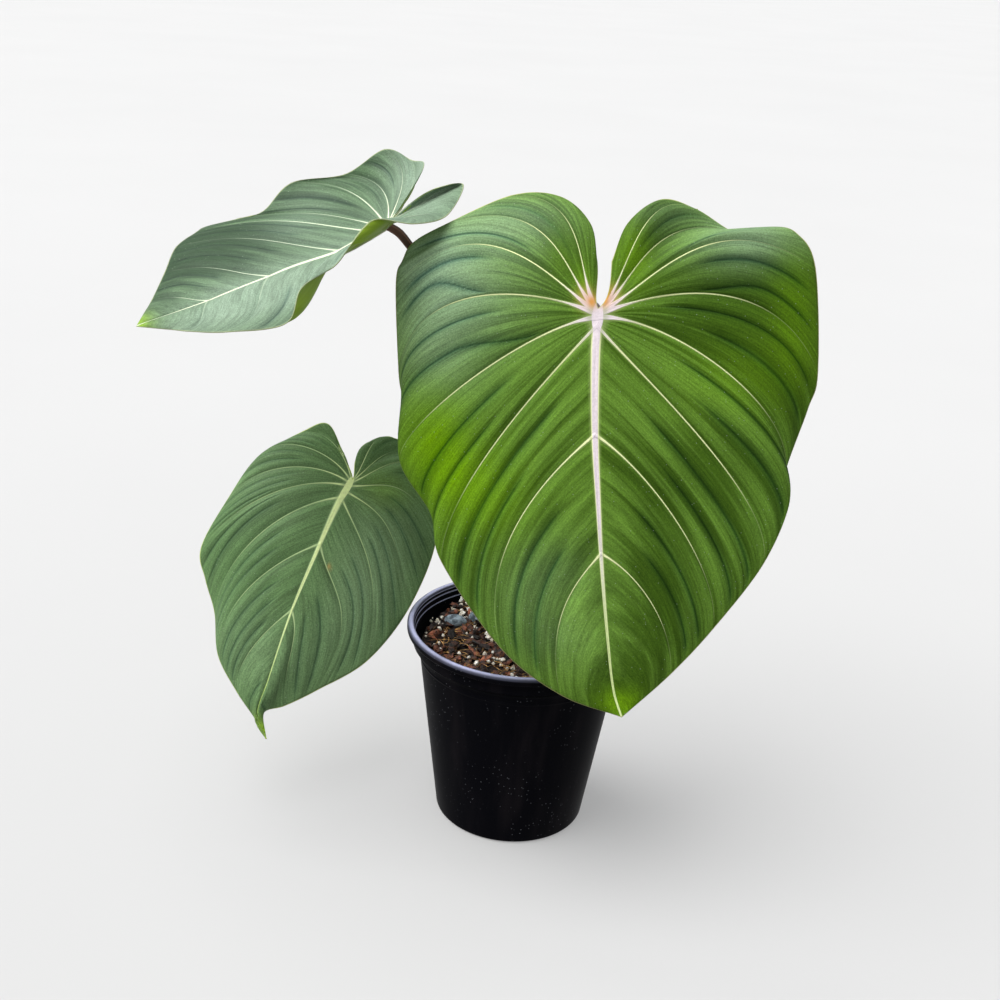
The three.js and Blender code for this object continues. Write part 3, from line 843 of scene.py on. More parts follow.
@dataclass
class Blade:
    """A heart-shaped leaf blade, lofted across its primary veins.

    The blade's frame has the joint with the stalk at 0, y to the tip, z along the upper face's
    normal and x to the left half. A station is one line from the midrib to the edge: (place on
    the midrib, left half, right half), and a half of it is (leaving angle, out, along, lift,
    arriving angle, reach, rib width). A pleat is (panel, share of the panel where it starts,
    share t where it starts, share where it ends). Lengths are in millimetres.
    """

    name: str
    node: str
    slot: str
    joint: Point
    tip: Point
    face: Point
    # How the lines leave the midrib: handle length, and the share of the lift at each handle.
    push: float
    rise: float
    cup: float
    midrib: list[Point]
    stations: list[tuple]
    pleats: dict[Side, list[tuple[int, float, float, float]]]
    # Where a silvery sheen, a sunlit glow and shade are painted, and where the skin is orange.
    painted_sheen: list[Patch]
    sunlit: list[Patch]
    painted_shade: list[Patch] = field(default_factory=list)
    blush: list[Patch] = field(default_factory=list)
    # Half the width of the pale midrib band, at the joint and at the tip, and how it falls.
    band: tuple[float, float] = (3.9, 0.7)
    band_fall: float = 2.1
    # Half the width of a vein's pale line: per rib width, more at the midrib, more at the joint.
    vein_scale: float = 0.15
    vein_root: float = 0.6
    vein_hub: float = 0.0
    vein_fade: tuple[float, float] = (0.5, 0.78)
    right_veins: float = 1.0
    thickness: float = 1.0
    edge_thickness: float = 0.5
    # The relief: how far panels rise and pleats and valleys sink, and from what panel width on.
    puff: float = 2.2
    puffed_panel: float = 35.0
    pleat_depth: float = 1.5
    pleat_half_width: float = 0.62
    pleated_panel: float = 22.0
    vein_valley: float = 1.0
    valley_reach: float = 3.4
    valley_panel: float = 18.0
    vein_rise: float = 0.22
    midrib_rise: float = 0.35
    # Round the joint, between these distances, the relief grows to its full height.
    calm: tuple[float, float] = (4.0, 22.0)
    # How far the midrib stands out below, at the joint and towards the tip.
    midrib_depth: tuple[float, float] = (3.6, 0.5)
    step_mm: float = 1.25
    columns: int = 44

    def matrix(self) -> Array:
        """The blade's axes in the plant's frame.

        Returns:
            The axes x, y and z as columns.
        """
        along = np.subtract(self.tip, self.joint)
        along = along / np.linalg.norm(along)
        face = np.asarray(self.face, float)
        face = face - (face @ along) * along
        face /= np.linalg.norm(face)
        return np.stack([np.cross(along, face), along, face], 1)

    def length(self) -> float:
        """How far the tip lies along y."""
        return self.midrib[-1][0]

    def half(self, side: Side) -> list[tuple]:
        """One half of every station."""
        return [station[1 if side is Side.LEFT else 2] for station in self.stations]

    def vein_numbers(self, side: Side) -> list[int]:
        """Station numbers of the veins on one side, with the two ends of the blade."""
        veins = [i for i, line in enumerate(self.half(side)) if line[6] > 0]
        return [0, *veins, len(self.stations)]

    def rib(self, side: Side) -> Array:
        """Rib width at each of vein_numbers, 0 at the two ends."""
        return np.array([0.0, *(line[6] for line in self.half(side) if line[6] > 0), 0.0])

    def surface(self, side: Side, u: Array, t: Array) -> Array:
        """The mid-surface at station number u and share t of the way from midrib to edge.

        Each line is a cubic Bezier curve in t. Its start slides along the midrib, its end along
        the edge, and its two handles follow the leaving and arriving angles. The numbers between
        two stations come from smooth curves over the station number.

        Args:
            side: the half of the blade.
            u: station numbers.
            t: shares from 0 to 1, of a shape that goes with u.

        Returns:
            Places in the blade's frame, in millimetres, with x, y and z last.
        """
        u, t = np.broadcast_arrays(np.asarray(u, float), np.asarray(t, float))
        tip = self.midrib[-1]
        rows = self.half(side) + [(40, 0, tip[0], tip[2], -20, 0.42, 0)]
        roots = [station[0] for station in self.stations] + [tip[0]]
        numbers = np.arange(len(rows), dtype=float)
        row = [curve_through(numbers, np.array(rows, float)[:, i], u) for i in range(6)]
        root = np.interp(u, numbers, roots)
        ribs = np.array(self.midrib, float)
        x0 = curve_through(ribs[:, 0], ribs[:, 1], root)
        z0 = curve_through(ribs[:, 0], ribs[:, 2], root)
        x3, y3, z3 = side.value * row[1], row[2], row[3]
        chord = np.hypot(x3 - x0, y3 - root)
        leave, arrive, reach = np.radians(row[0]), np.radians(row[4]), row[5] * chord
        x1 = x0 + self.push * chord * side.value * np.sin(leave)
        y1 = root + self.push * chord * np.cos(leave)
        x2 = x3 - reach * side.value * np.sin(arrive)
        y2 = y3 - reach * np.cos(arrive)
        z1 = z0 + (z3 - z0) * self.rise
        z2 = z0 + (z3 - z0) * self.cup
        s = 1 - t
        weights = (s**3, 3 * s**2 * t, 3 * s * t**2, t**3)
        corners = ((x0, x1, x2, x3), (root, y1, y2, y3), (z0, z1, z2, z3))
        return np.stack([sum(w * c for w, c in zip(weights, axis)) for axis in corners], -1)

    def row_numbers(self) -> Array:
        """Chooses the mesh's rows, about step_mm apart and closer beside the veins.

        Returns:
            Station numbers, one a row.
        """
        stops = sorted(set(self.vein_numbers(Side.LEFT)) | set(self.vein_numbers(Side.RIGHT)))
        samples, fewest, crowding = 30, 8, 0.09
        rows = []
        for low, high in zip(stops[:-1], stops[1:]):
            u = np.linspace(low, high, samples)
            longest = 0.0
            for side in Side:
                for t in (0.0, 0.6, 1.0):
                    line = self.surface(side, u, np.full(samples, t))
                    longest = max(longest, np.linalg.norm(np.diff(line, axis=0), axis=1).sum())
            count = max(fewest, round(longest / self.step_mm))
            f = np.arange(count) / count
            rows.append(low + (high - low) * (f - crowding * np.sin(2 * np.pi * f)))
        return np.concatenate([*rows, [len(self.stations)]])

    def column_shares(self) -> Array:
        """Chooses the mesh's columns, closer together beside the midrib and the edge.

        They lie evenly on the running sum of 1 + 4.5 exp(-t / 0.05) + 1.6 exp(-(1 - t) / 0.03).

        Returns:
            Shares t, one a column.
        """
        t = np.linspace(0, 1, 2000)
        weight = 1 + 4.5 * np.exp(-t / 0.05) + 1.6 * np.exp(-(1 - t) / 0.03)
        total = np.cumsum(weight)
        return np.interp(np.linspace(total[0], total[-1], self.columns + 1), total, t)

    def relief(self, side: Side, u: Array, t: Array) -> dict[str, Array]:
        """The relief of one half, and the numbers that its skin is drawn from.

        A panel between two veins rises as (4f(1-f))^0.8 across and as sqrt(4t(1-t)) along. A vein
        is a raised bell exp(-r^2) of the distance r in halves of its width, between valleys that
        fall off as exp(-d / reach). The midrib is a flat-topped bell exp(-r^4).

        Args:
            side: the half of the blade.
            u: station numbers, one a row.
            t: shares, one a column.

        Returns:
            Named arrays of rows by columns.
        """
        veins, ribs = np.array(self.vein_numbers(side), float), self.rib(side)
        u, t = np.broadcast_arrays(u[:, None], t[None, :])
        panel = np.clip(np.searchsorted(veins, u, side="right") - 1, 0, len(veins) - 2)
        low, high, rib_low, rib_high = veins[panel], veins[panel + 1], ribs[panel], ribs[panel + 1]
        f = (u - low) / (high - low)
        here = self.surface(side, u, t)
        d_low = self.square_distance(side, here, low, t)
        d_high = self.square_distance(side, here, high, t)
        gap = d_low + d_high
        from_joint = np.hypot(here[..., 0], here[..., 1])
        from_midrib = np.linalg.norm(here - self.surface(side, u, 0 * t), axis=-1)
        ratio_low = d_low / self.vein_width(rib_low, t, from_joint)
        ratio_high = d_high / self.vein_width(rib_high, t, from_joint)
        ratio = np.minimum(ratio_low, ratio_high)
        on = np.where(ratio_low < ratio_high, rib_low > 0, rib_high > 0)
        crease, pleat, pleat_on = self.creases(side, panel, f, t, gap)
        valley = np.maximum(
            (rib_low > 0) * np.exp(-d_low / self.valley_reach),
            (rib_high > 0) * np.exp(-d_high / self.valley_reach),
        )
        valley = self.vein_valley * valley * smooth(0.0, 0.3, t) * smooth(1.0, 0.8, t)
        valley = valley * np.clip(gap / self.valley_panel, 0, 1)
        band = self.band_width(here[..., 1])
        fine = self.vein_rise * np.exp(-(ratio**2)) * on - np.maximum(crease, valley)
        fine = fine + self.midrib_rise * np.exp(-((from_midrib / band) ** 4))
        puff = self.puff * np.minimum(gap / self.puffed_panel, 1) * (4 * f * (1 - f)) ** 0.8
        sunk = np.maximum(crease / self.pleat_depth, 0.5 * valley / self.vein_valley)
        beside = ((rib_low, d_low), (rib_high, d_high))
        shown = self.right_veins if side is Side.RIGHT else 1.0
        faded = 1 - 0.9 * smooth(*self.vein_fade, t)
        return {
            "here": here,
            "puff": puff * np.sqrt(4 * t * (1 - t)),
            "fine": fine * smooth(*self.calm, from_joint),
            "depth": self.depth_below(here, from_midrib, t, beside),
            "vein": np.minimum(ratio, FAR),
            "vein_on": shown * on * faded * smooth(1.0, 0.9, t),
            # How far the surface sinks, which the skin darkens with painted shade.
            "painted_dip_shade": np.clip(sunk, 0, 1) ** 1.5,
            "midrib": np.minimum(from_midrib / band, FAR),
            "pleat": np.clip(pleat, -FAR, FAR),
            "pleat_on": pleat_on,
        }

    def square_distance(self, side: Side, here: Array, number: Array, t: Array) -> Array:
        """Distance to a vein, measured square to it.

        Args:
            side: the half of the blade.
            here: places on the mid-surface.
            number: the vein's station number for each place.
            t: the share of each place.

        Returns:
            The distances.
        """
        ahead = self.surface(side, number, np.clip(t + 0.02, 0, 1))
        behind = self.surface(side, number, np.clip(t - 0.02, 0, 1))
        along = ahead - behind
        along /= np.linalg.norm(along, axis=-1, keepdims=True) + 1e-9
        away = here - self.surface(side, number, t)
        away = away - (away * along).sum(-1, keepdims=True) * along
        return np.linalg.norm(away, axis=-1)

    def depth_below(self, here: Array, from_midrib: Array, t: Array, veins: tuple) -> Array:
        """How far the midrib and the ribs stand out below.

        Each is a bell exp(-(d / width)^2). The midrib's is 4.4 mm wide at the joint and 1.4 mm
        at the tip. A rib's depth is 0.9 and its width 1.3 of the rib, which thins to a fifth.

        Args:
            here: places on the mid-surface.
            from_midrib: their distance from the midrib.
            t: their shares.
            veins: (rib width, distance) of the veins on either side.

        Returns:
            The depths.
        """
        share = np.clip(here[..., 1] / self.length(), 0, 1)
        root, end = self.midrib_depth
        deepest = root + (end - root) * np.clip(share * 1.6, 0, 1)
        depth = deepest * np.exp(-((from_midrib / (4.4 - 3.0 * share)) ** 2))
        for rib, distance in veins:
            rib = rib * (1 - 0.8 * t)
            bell = np.exp(-((distance / (1.3 * rib + 0.3)) ** 2))
            depth = np.maximum(depth, 0.9 * rib * bell)
        return depth

    def vein_width(self, rib: Array, t: Array, from_joint: Array) -> Array:
        """Half the width of a vein's pale line.

        It widens as exp(-t / 0.09) towards the midrib and as exp(-(d / 13)^2) towards the joint.

        Args:
            rib: the vein's rib width.
            t: shares from midrib to edge.
            from_joint: distances from the joint.

        Returns:
            The half widths.
        """
        hub = self.vein_hub * np.exp(-((from_joint / 13) ** 2))
        root = self.vein_root * np.exp(-t / 0.09)
        return self.vein_scale * rib * (1 - 0.7 * t) + np.maximum(hub, root) + 0.08

    def band_width(self, y: Array) -> Array:
        """Half the width of the pale midrib band at y, a falling power of what is left of it."""
        (wide, fine), left = self.band, 1 - np.clip(y / self.length(), 0, 1)
        return fine + (wide - fine) * left**self.band_fall

    def creases(
        self, side: Side, panel: Array, f: Array, t: Array, gap: Array
    ) -> tuple[Array, Array, Array]:
        """The pleats of one half.

        A pleat's line eases from its first share of the panel to its last. Across it the surface
        sinks as a rounded cusp exp(-(sqrt(d^2 + 0.16) - 0.4) / 2.5) of the distance d.

        Args:
            side: the half of the blade.
            panel: panel numbers.
            f: shares across the panel.
            t: shares from midrib to edge.
            gap: width of the panel there, in millimetres.

        Returns:
            How far the surface sinks, the distance to the nearest pleat in halves of its width,
            with a sign that changes at every pleat, and how strongly that pleat shows.
        """
        sunk, strength = np.zeros_like(f), np.zeros_like(f)
        nearest = np.full_like(f, FAR)
        turn = {}
        for number, start, since, end in sorted(
            self.pleats[side], key=lambda pleat: (pleat[0], pleat[3])
        ):
            turn[number] = -turn.get(number, -1)
            line = start + (end - start) * smooth(since, since + 0.45, t)
            away = np.where(panel == number, (f - line) * gap * 0.9, ELSEWHERE) * turn[number]
            distance = np.abs(away)
            shows = smooth(since, since + 0.16, t) * smooth(1.02, 0.9, t)
            shows = shows * np.clip(gap / self.pleated_panel, 0.1, 1)
            shows = shows * smooth(0.0, 3.0, np.minimum(f, 1 - f) * gap)
            cusp = np.exp(-(np.sqrt(distance**2 + 0.16) - 0.4) / 2.5)
            sunk = np.maximum(sunk, self.pleat_depth * shows * cusp)
            closer = distance / self.pleat_half_width < np.abs(nearest)
            nearest = np.where(closer, away / self.pleat_half_width, nearest)
            strength = np.where(closer, shows, strength)
        return sunk, nearest, strength

    def paint(self, name: str, x: Array, y: Array) -> Array:
        """How strongly the blade is of one colour: the sum of its patches, at most 1."""
        return np.clip(sum((p.at(x, y) for p in getattr(self, name)), np.zeros_like(x)), 0, 1)

    def skin_map(self, edge: Array, t: Array) -> Array:
        """The map that the skin's streaks follow, in metres.

        Across is the length of the left edge up to a row. Along is 0.11 t, to either side of 0.
        The right half is moved across, so that it isn't the left half's mirror image.

        Args:
            edge: places of the left edge, one a row.
            t: shares, one a column of one half.

        Returns:
            One (across, along) a vertex of the grid.
        """
        passed = np.cumsum(np.linalg.norm(np.diff(edge, axis=0, prepend=edge[:1]), axis=1))
        side = np.concatenate([-np.ones(self.columns), np.ones(self.columns + 1)])
        along = np.concatenate([t[:0:-1], t]) * 0.11 * side
        across, along = np.broadcast_arrays(passed[:, None] * MM, along[None, :])
        return np.stack([across + 0.6 * (along < 0), along], -1)

    def build(self, finish: Material) -> None:
        """Builds the closed blade, upper face, lower face and rim, and dresses it.

        The two halves share their midrib column, and the last row is one point, the tip. The upper
        face is the mid-surface lifted along z by the puff and the fine relief. The lower face lies
        a thickness and the ribs' depth behind it, along normals that are steadied at the joint.

        Args:
            finish: the blade's material.
        """
        u, t = self.row_numbers(), self.column_shares()
        left, right = self.relief(Side.LEFT, u, t), self.relief(Side.RIGHT, u, t)
        whole = {k: np.concatenate([right[k][:, :0:-1], left[k]], axis=1) for k in left}
        rows, width = len(u), 2 * self.columns + 1
        middle = whole.pop("here")
        middle[..., 2] += whole.pop("puff")
        points = sheet_points(middle)
        flat = {name: sheet_points(numbers) for name, numbers in whole.items()}
        x, y = points[:, 0], points[:, 1]
        from_joint = np.hypot(x, y)
        upper = points.copy()
        upper[:, 2] += flat.pop("fine")
        normal = vertex_normals(upper, sheet_triangles(rows, width))
        normal = steady(normal, smooth(5, 28, from_joint)[:, None])
        edge_line = np.concatenate([middle[0], middle[1:, -1], middle[:-1, 0][::-1]])
        from_edge = distance_to_line(points, edge_line)
        swell = smooth(0, 7, from_edge)
        thin = self.edge_thickness + (self.thickness - self.edge_thickness) * swell
        depth = flat.pop("depth") * smooth(0, 5, from_edge)
        lower = upper - normal * (thin + depth)[:, None]
        paint = {name: self.paint(name, x, y) for name in ("painted_sheen", "sunlit", "painted_shade", "blush")}
        paint |= flat | {"from_joint": from_joint, "from_edge": from_edge}
        values = {name: np.concatenate([numbers, numbers]) for name, numbers in paint.items()}
        values["underside"] = np.repeat([0.0, 1.0], len(points))
        uv = sheet_points(self.skin_map(middle[:, -1], t))
        placed = np.asarray(self.joint) + np.vstack([upper, lower]) @ self.matrix().T
        faces = closed_sheet(rows, width).tolist()
        piece = make_mesh_object(self.name, placed, faces, values, np.vstack([uv, uv]))
        place_piece(piece, self.node, finish)


def sheet_points(grid: Array) -> Array:
    """A sheet's grid as a list of points, with its last row as one point."""
    return grid.reshape(-1, *grid.shape[2:])[: (grid.shape[0] - 1) * grid.shape[1] + 1]


def sheet_triangles(rows: int, width: int) -> Array:
    """Triangles of a sheet whose last row is one point.

    Args:
        rows: rows of the grid.
        width: points in a row.

    Returns:
        One row of three corner numbers a triangle.
    """
    quads = grid_quads(rows, width, False)
    tri = np.vstack([quads[:, [0, 1, 2]], quads[:, [0, 2, 3]]])
    tri = np.minimum(tri, (rows - 1) * width)
    a, b, c = tri.T
    return tri[(a != b) & (b != c) & (a != c)]


def closed_sheet(rows: int, width: int) -> Array:
    """Triangles of two such sheets back to back, and of the wall between their rims.

    The rim runs along the first row, down one side to the tip and up the other side.

    Args:
        rows: rows of the grid.
        width: points in a row.

    Returns:
        One row of three corner numbers a triangle. The second sheet's points follow the first's.
    """
    tip = (rows - 1) * width
    count = tip + 1
    sides = [np.arange(2, rows) * width - 1, [tip], np.arange(rows - 2, 0, -1) * width]
    rim = np.concatenate([np.arange(width), *sides])
    ahead = np.roll(rim, -1)
    front = sheet_triangles(rows, width)
    walls = [
        np.stack([ahead, rim, rim + count], 1),
        np.stack([ahead, rim + count, ahead + count], 1),
    ]
    return np.vstack([front, front[:, ::-1] + count, *walls])


def vertex_normals(points: Array, triangles: Array) -> Array:
    """Unit normals: the sum of the cross products of the triangles around each vertex.

    Args:
        points: one row a vertex.
        triangles: one row of three corner numbers a triangle.

    Returns:
        One row a vertex.
    """
    a, b, c = (points[triangles[:, k]] for k in range(3))
    cross = np.cross(b - a, c - a)
    total = np.zeros_like(points)
    for k in range(3):
        np.add.at(total, triangles[:, k], cross)
    return total / (np.linalg.norm(total, axis=1, keepdims=True) + 1e-12)


def steady(normal: Array, share: Array) -> Array:
    """Turns unit normals towards straight up, and never lets them lie flat.

    Args:
        normal: one row a vertex.
        share: 0 for straight up, 1 for the normal's own direction.

    Returns:
        The new unit normals.
    """
    turned = normal * share + (1 - share) * np.array([0.0, 0.0, 1.0])
    turned[:, 2] = np.maximum(turned[:, 2], 0.15)
    return turned / np.linalg.norm(turned, axis=1, keepdims=True)


def distance_to_line(points: Array, line: Array) -> Array:
    """Distance from each point to the nearest corner of a closely drawn line.

    Args:
        points: one row a point.
        line: one row a corner.

    Returns:
        The distances, worked out a few thousand points at a time.
    """
    chunk = 4000
    out = np.empty(len(points))
    for k in range(0, len(points), chunk):
        d = points[k : k + chunk, None] - line[None]
        out[k : k + chunk] = np.sqrt((d**2).sum(-1).min(1))
    return out


# ---- Stalks and creeping stem


@dataclass
class Petiole:
    """A leaf stalk: a sheathing foot, a slim flat-topped shaft and a thicker knee at the blade.

    Base, middle and top are radii in millimetres. Places along the stalk are shares of its
    length, and places round it are radians from the middle of the flat side.
    """

    name: str
    node: str
    blade: Blade
    base: float
    middle: float
    top: float
    path: list[Point]
    knee: list[Point]
    across: Point
    flat_side: float
    foot_length: float = 0.09
    knee_at: float = 0.97
    knee_length: float = 0.04
    knee_swell: float = 0.35
    flat_depth: float = 0.16
    flat_width: float = 0.5
    ridge_at: float = 0.78
    ridge_width: float = 0.17
    ridge_height: float = 0.05
    sides: int = 36
    steps: int = 200

    def route(self) -> Array:
        """The path, with the points of the knee moved from the blade's own frame."""
        ends = np.asarray(self.knee, float) @ self.blade.matrix().T
        return np.vstack([self.path, np.asarray(self.blade.joint) + ends])

    def build(self, finish: Material) -> None:
        """Builds the stalk as a tube along its route.

        The radius falls in a straight line from middle to top, with a bell at the foot and a small
        one at the knee. Its upper side is flattened between two raised lines.

        Args:
            finish: the stalk's material.
        """
        centres, tangent = smooth_path(self.route(), self.steps)
        across = np.asarray(self.across, float)
        across = across - (tangent @ across)[:, None] * tangent
        across /= np.linalg.norm(across, axis=1)[:, None]
        s = np.linspace(0, 1, self.steps + 1)[:, None]
        a = circle(self.sides)[None, :]
        away = np.angle(np.exp(1j * (a - math.radians(self.flat_side))))
        foot = (self.base - self.middle) * np.exp(-((s / self.foot_length) ** 2))
        knee = np.exp(-(((s - self.knee_at) / self.knee_length) ** 2))
        radius = self.middle + (self.top - self.middle) * s + foot + self.knee_swell * knee
        flat = self.flat_depth * np.exp(-((away / self.flat_width) ** 2)) * smooth(0.0, 0.2, s)
        ridge = np.exp(-(((np.abs(away) - self.ridge_at) / self.ridge_width) ** 2))
        radius = radius * (1 - flat + self.ridge_height * ridge)
        points, faces = tube_mesh(centres, across, np.cross(tangent, across), radius)
        grid = np.ones_like(radius)
        values = {
            "ridge": np.concatenate([(ridge * grid).ravel(), [0, 0]]),
            "knee": np.concatenate([(smooth(0.93, 0.98, s) * grid).ravel(), [0, 1]]),
        }
        uv = np.stack([(a * grid).ravel() / 6.3, (s * grid).ravel()], 1)
        uv = np.vstack([uv, [[0, 0], [0, 1]]])
        piece = make_mesh_object(self.name, points, faces, values, uv)
        place_piece(piece, self.node, finish)


@dataclass
class Rhizome:
    """The creeping stem at the mix's surface: leaf scars, a pointed tip and a few roots."""

    radius: float = 8.0
    length: float = 110.0
    ring_spacing: float = 9.0
    ring_height: float = 0.9
    # The growing tip, as shares of the length: where it starts and how far it would reach.
    tip_from: float = 0.72
    tip_reach: float = 0.285
    path: list[Point] = field(
        default_factory=lambda: [
            (-24, 50, 121), (-10, 42, 124), (8, 28, 126), (27, 12, 126), (42, -4, 127),
            (51, -15, 133), (55, -21, 143),
        ]
    )
    roots: list[tuple[Point, Point]] = field(
        default_factory=lambda: [
            ((-4, 36, 121), (-12, 28, 108)),
            ((16, 22, 122), (10, 8, 110)),
            ((30, 10, 122), (42, 18, 108)),
            ((40, -2, 122), (34, -16, 110)),
        ]
    )
    root_radius: float = 1.6
    root_sides: int = 14
    root_steps: int = 24
    sides: int = 44
    steps: int = 260

    def tube(self, path: list[Point], radii: Array, up: Point) -> tuple[Array, list]:
        """A tube along a path, with its rings square to it.

        Args:
            path: the points that it runs through.
            radii: the radius at each ring (rows) and angle (columns).
            up: a direction that the path never takes.

        Returns:
            The points and the faces.
        """
        centres, tangent = smooth_path(path, len(radii) - 1)
        across = np.cross(tangent, np.array(up))
        across /= np.linalg.norm(across, axis=1)[:, None]
        return tube_mesh(centres, across, np.cross(tangent, across), radii)

    def root(self, low: Point, high: Point) -> tuple[Array, list]:
        """A root that arches a little and thins to half."""
        bend = (np.array(low) + np.array(high)) / 2 + np.array([0, 0, 1.5])
        f = np.linspace(0, 1, self.root_steps + 1)[:, None]
        radii = self.root_radius * (1 - 0.5 * f) * np.ones((1, self.root_sides))
        return self.tube([low, bend, high], radii, (1.0, 0.2, 0.1))

    def build(self, finish: Material) -> None:
        """Builds stem and roots as one piece.

        The radius is the stem's own plus a ring |cos|^6 at every node, times an oval fall at the
        growing tip, and a little uneven all round.

        Args:
            finish: the stem's material.
        """
        s = np.linspace(0, 1, self.steps + 1)[:, None]
        a = circle(self.sides)[None, :]
        ring = np.abs(np.cos(np.pi * s * self.length / self.ring_spacing)) ** 6
        body = self.radius + self.ring_height * ring
        body = body - 0.25 + 0.25 * np.sin(3 * a + 9 * s) * np.cos(17 * s - a)
        tip = np.sqrt(np.maximum(1 - ((s - self.tip_from) / self.tip_reach) ** 2, 0))
        radii = np.where(s < self.tip_from, body * np.minimum(1, 0.55 + 9 * s), body * tip + 0.5)
        stem = self.tube(self.path, radii, (0.31, 0.25, 1.0))
        points, faces = join_shapes([stem, *(self.root(*ends) for ends in self.roots)])
        scar = np.zeros(len(points))
        scar[: radii.size] = (ring**2 * np.ones_like(a)).ravel()
        piece = make_mesh_object("creeping_stem", points, faces, {"scar": scar})
        place_piece(piece, "rhizome", finish)


# ---- Pot and mix


@dataclass
class NurseryPot:
    """The moulded pot: rolled rim, stacking band, tapered wall and drained floor."""

    height: float = 143.0
    rim_radius: float = 78.0
    lip_depth: float = 5.5
    band_radius: float = 74.0
    band_bottom: float = 129.0
    wall_top_radius: float = 69.3
    wall_top: float = 125.0
    base_radius: float = 52.0
    chamfer: float = 2.5
    wall: float = 1.5
    floor: float = 3.0
    drain_holes: int = 8
    drain_radius: float = 5.0
    drain_ring: float = 37.0
    # The raised mark round the wall: its bottom, how high it is and how far it stands out.
    mark_bottom: float = 118.2
    mark_height: float = 2.4
    mark_rise: float = 0.35
    sides: int = 160

    def wall_radius(self, z: float) -> float:
        """Radius of the tapered outside at height z."""
        return self.base_radius + (self.wall_top_radius - self.base_radius) * z / self.wall_top

    def profile(self) -> Array:
        """Half the section: up the outside, over the rolled lip and down the stepped inside.

        Chamfer, lip and crown are arcs (r sin a, r cos a). The mark is half a sine wave.

        Returns:
            One (radius, height) a point, from the middle of the underside to the floor's middle.
        """
        h, r, outer = self.height, self.rim_radius, self.wall_radius
        chamfer = [
            (
                outer(self.chamfer) - self.chamfer * (1 - math.sin(a)) * 1.2,
                self.chamfer * (1 - math.cos(a)),
            )
            for a in np.linspace(0.2, 1.4, 5)
        ]
        wall = [(outer(z), z) for z in (4, 12, 30, 50, 70, 90, 106, 118)]
        wave = math.pi / self.mark_height
        mark = [
            (outer(z) + self.mark_rise * math.sin((z - self.mark_bottom) * wave), z)
            for z in np.linspace(self.mark_bottom, self.mark_bottom + self.mark_height, 7)
        ]
        upper = [(outer(z), z) for z in (120.9, 122.6, 124.4)]
        edge = self.band_radius
        step = [
            (self.wall_top_radius + 0.2, self.wall_top),
            (edge - 1.2, self.band_bottom - 0.6),
            (edge - 0.4, self.band_bottom),
        ]
        band = [(edge - 0.15, 130), (edge, 134), (edge + 0.1, 136.9)]
        lip = [(edge + 0.6, h - self.lip_depth), (r - 1.6, h - self.lip_depth)]
        roll = [
            (r - 1.5 + 1.5 * math.sin(a), 139.1 - 1.6 * math.cos(a))
            for a in np.linspace(0.3, 1.4, 5)
        ]
        crown = [
            (r - 1.9 + 1.9 * math.cos(a), h - 1.9 + 1.9 * math.sin(a))
            for a in np.linspace(0.05, math.pi / 2, 8)
        ]
        top = [(r - 3.6, h), (r - 4.2, h - 0.15), (r - 4.55, h - 0.6), (r - 4.65, h - 1.2)]
        inside = []
        for back, high, low in ((4.65, 141, 139.2), (5.25, 138.4, 135), (5.85, 134.2, 130.4)):
            inside += [(r - back, high), (r - back, low + 0.3), (r - back - 0.12, low)]
        inner = [(outer(z) - self.wall, z) for z in (124.4, 90, 50, 8)]
        foot = [
            (outer(self.floor) - self.wall - 0.4, self.floor + 1),
            (outer(self.floor) - 2.6, self.floor),
        ]
        outside = [*chamfer, *wall, *mark, *upper, *step, *band, *lip, *roll, *crown, *top]
        return np.array([(0, 0), *outside, *inside, *inner, *foot, (0, self.floor)], float)

    def build(self, finish: Material) -> None:
        """Turns the profile about the axis and cuts the drain holes.

        A point is (r cos a, r sin a, z) of the profile's r and z at angle a. The two ends of the
        profile are on the axis, so each is one point.

        Args:
            finish: the plastic.
        """
        profile = self.profile()
        rings = profile[1:-1]
        points = turned_rings(rings, self.sides).reshape(-1, 3)
        points = np.vstack([points, [[0, 0, profile[0, 1]], [0, 0, profile[-1, 1]]]])
        faces = grid_quads(len(rings), self.sides, True).tolist()
        faces += end_fans(len(rings), self.sides).tolist()
        piece = make_mesh_object("nursery_pot", points, faces)
        self.drill(piece)
        place_piece(piece, "pot", finish)

    def drain_bits(self) -> tuple[Array, list]:
        """The upright rods that the drain holes are cut with.

        Returns:
            The points and the faces of them all.
        """
        heights, rod_sides = (-3.0, 2.0, 8.0), 28
        across, other = np.tile([1.0, 0, 0], (3, 1)), np.tile([0, 1.0, 0], (3, 1))
        radii = np.full((3, rod_sides), self.drain_radius)
        rods = []
        for i in range(self.drain_holes):
            angle = 2 * math.pi * (i + 0.5) / self.drain_holes
            x, y = self.drain_ring * math.cos(angle), self.drain_ring * math.sin(angle)
            rods.append(tube_mesh(np.array([[x, y, z] for z in heights]), across, other, radii))
        return join_shapes(rods)

    def drill(self, piece: Piece, sharp_degrees: float = 38.0) -> None:
        """Cuts the ring of drain holes through the floor and keeps the result as the mesh.

        Args:
            piece: the pot.
            sharp_degrees: the least angle between two faces that is shown as an edge.
        """
        drill = make_mesh_object("drill", *self.drain_bits())
        cut = piece.modifiers.new("drain", "BOOLEAN")
        cut.operation = "DIFFERENCE"
        cut.solver = "EXACT"
        cut.object = drill
        graph = bpy.context.evaluated_depsgraph_get()
        mesh = bpy.data.meshes.new_from_object(piece.evaluated_get(graph))
        piece.modifiers.clear()
        old, piece.data = piece.data, mesh
        bpy.data.meshes.remove(old)
        bpy.data.objects.remove(drill)
        mesh.shade_smooth()
        mesh.set_sharp_from_angle(angle=math.radians(sharp_degrees))


class Bit(Enum):
    """The kinds of bit in the potting mix."""

    BARK = "bark"
    COIR = "coir"
    PERLITE = "perlite"
    PUMICE = "pumice"


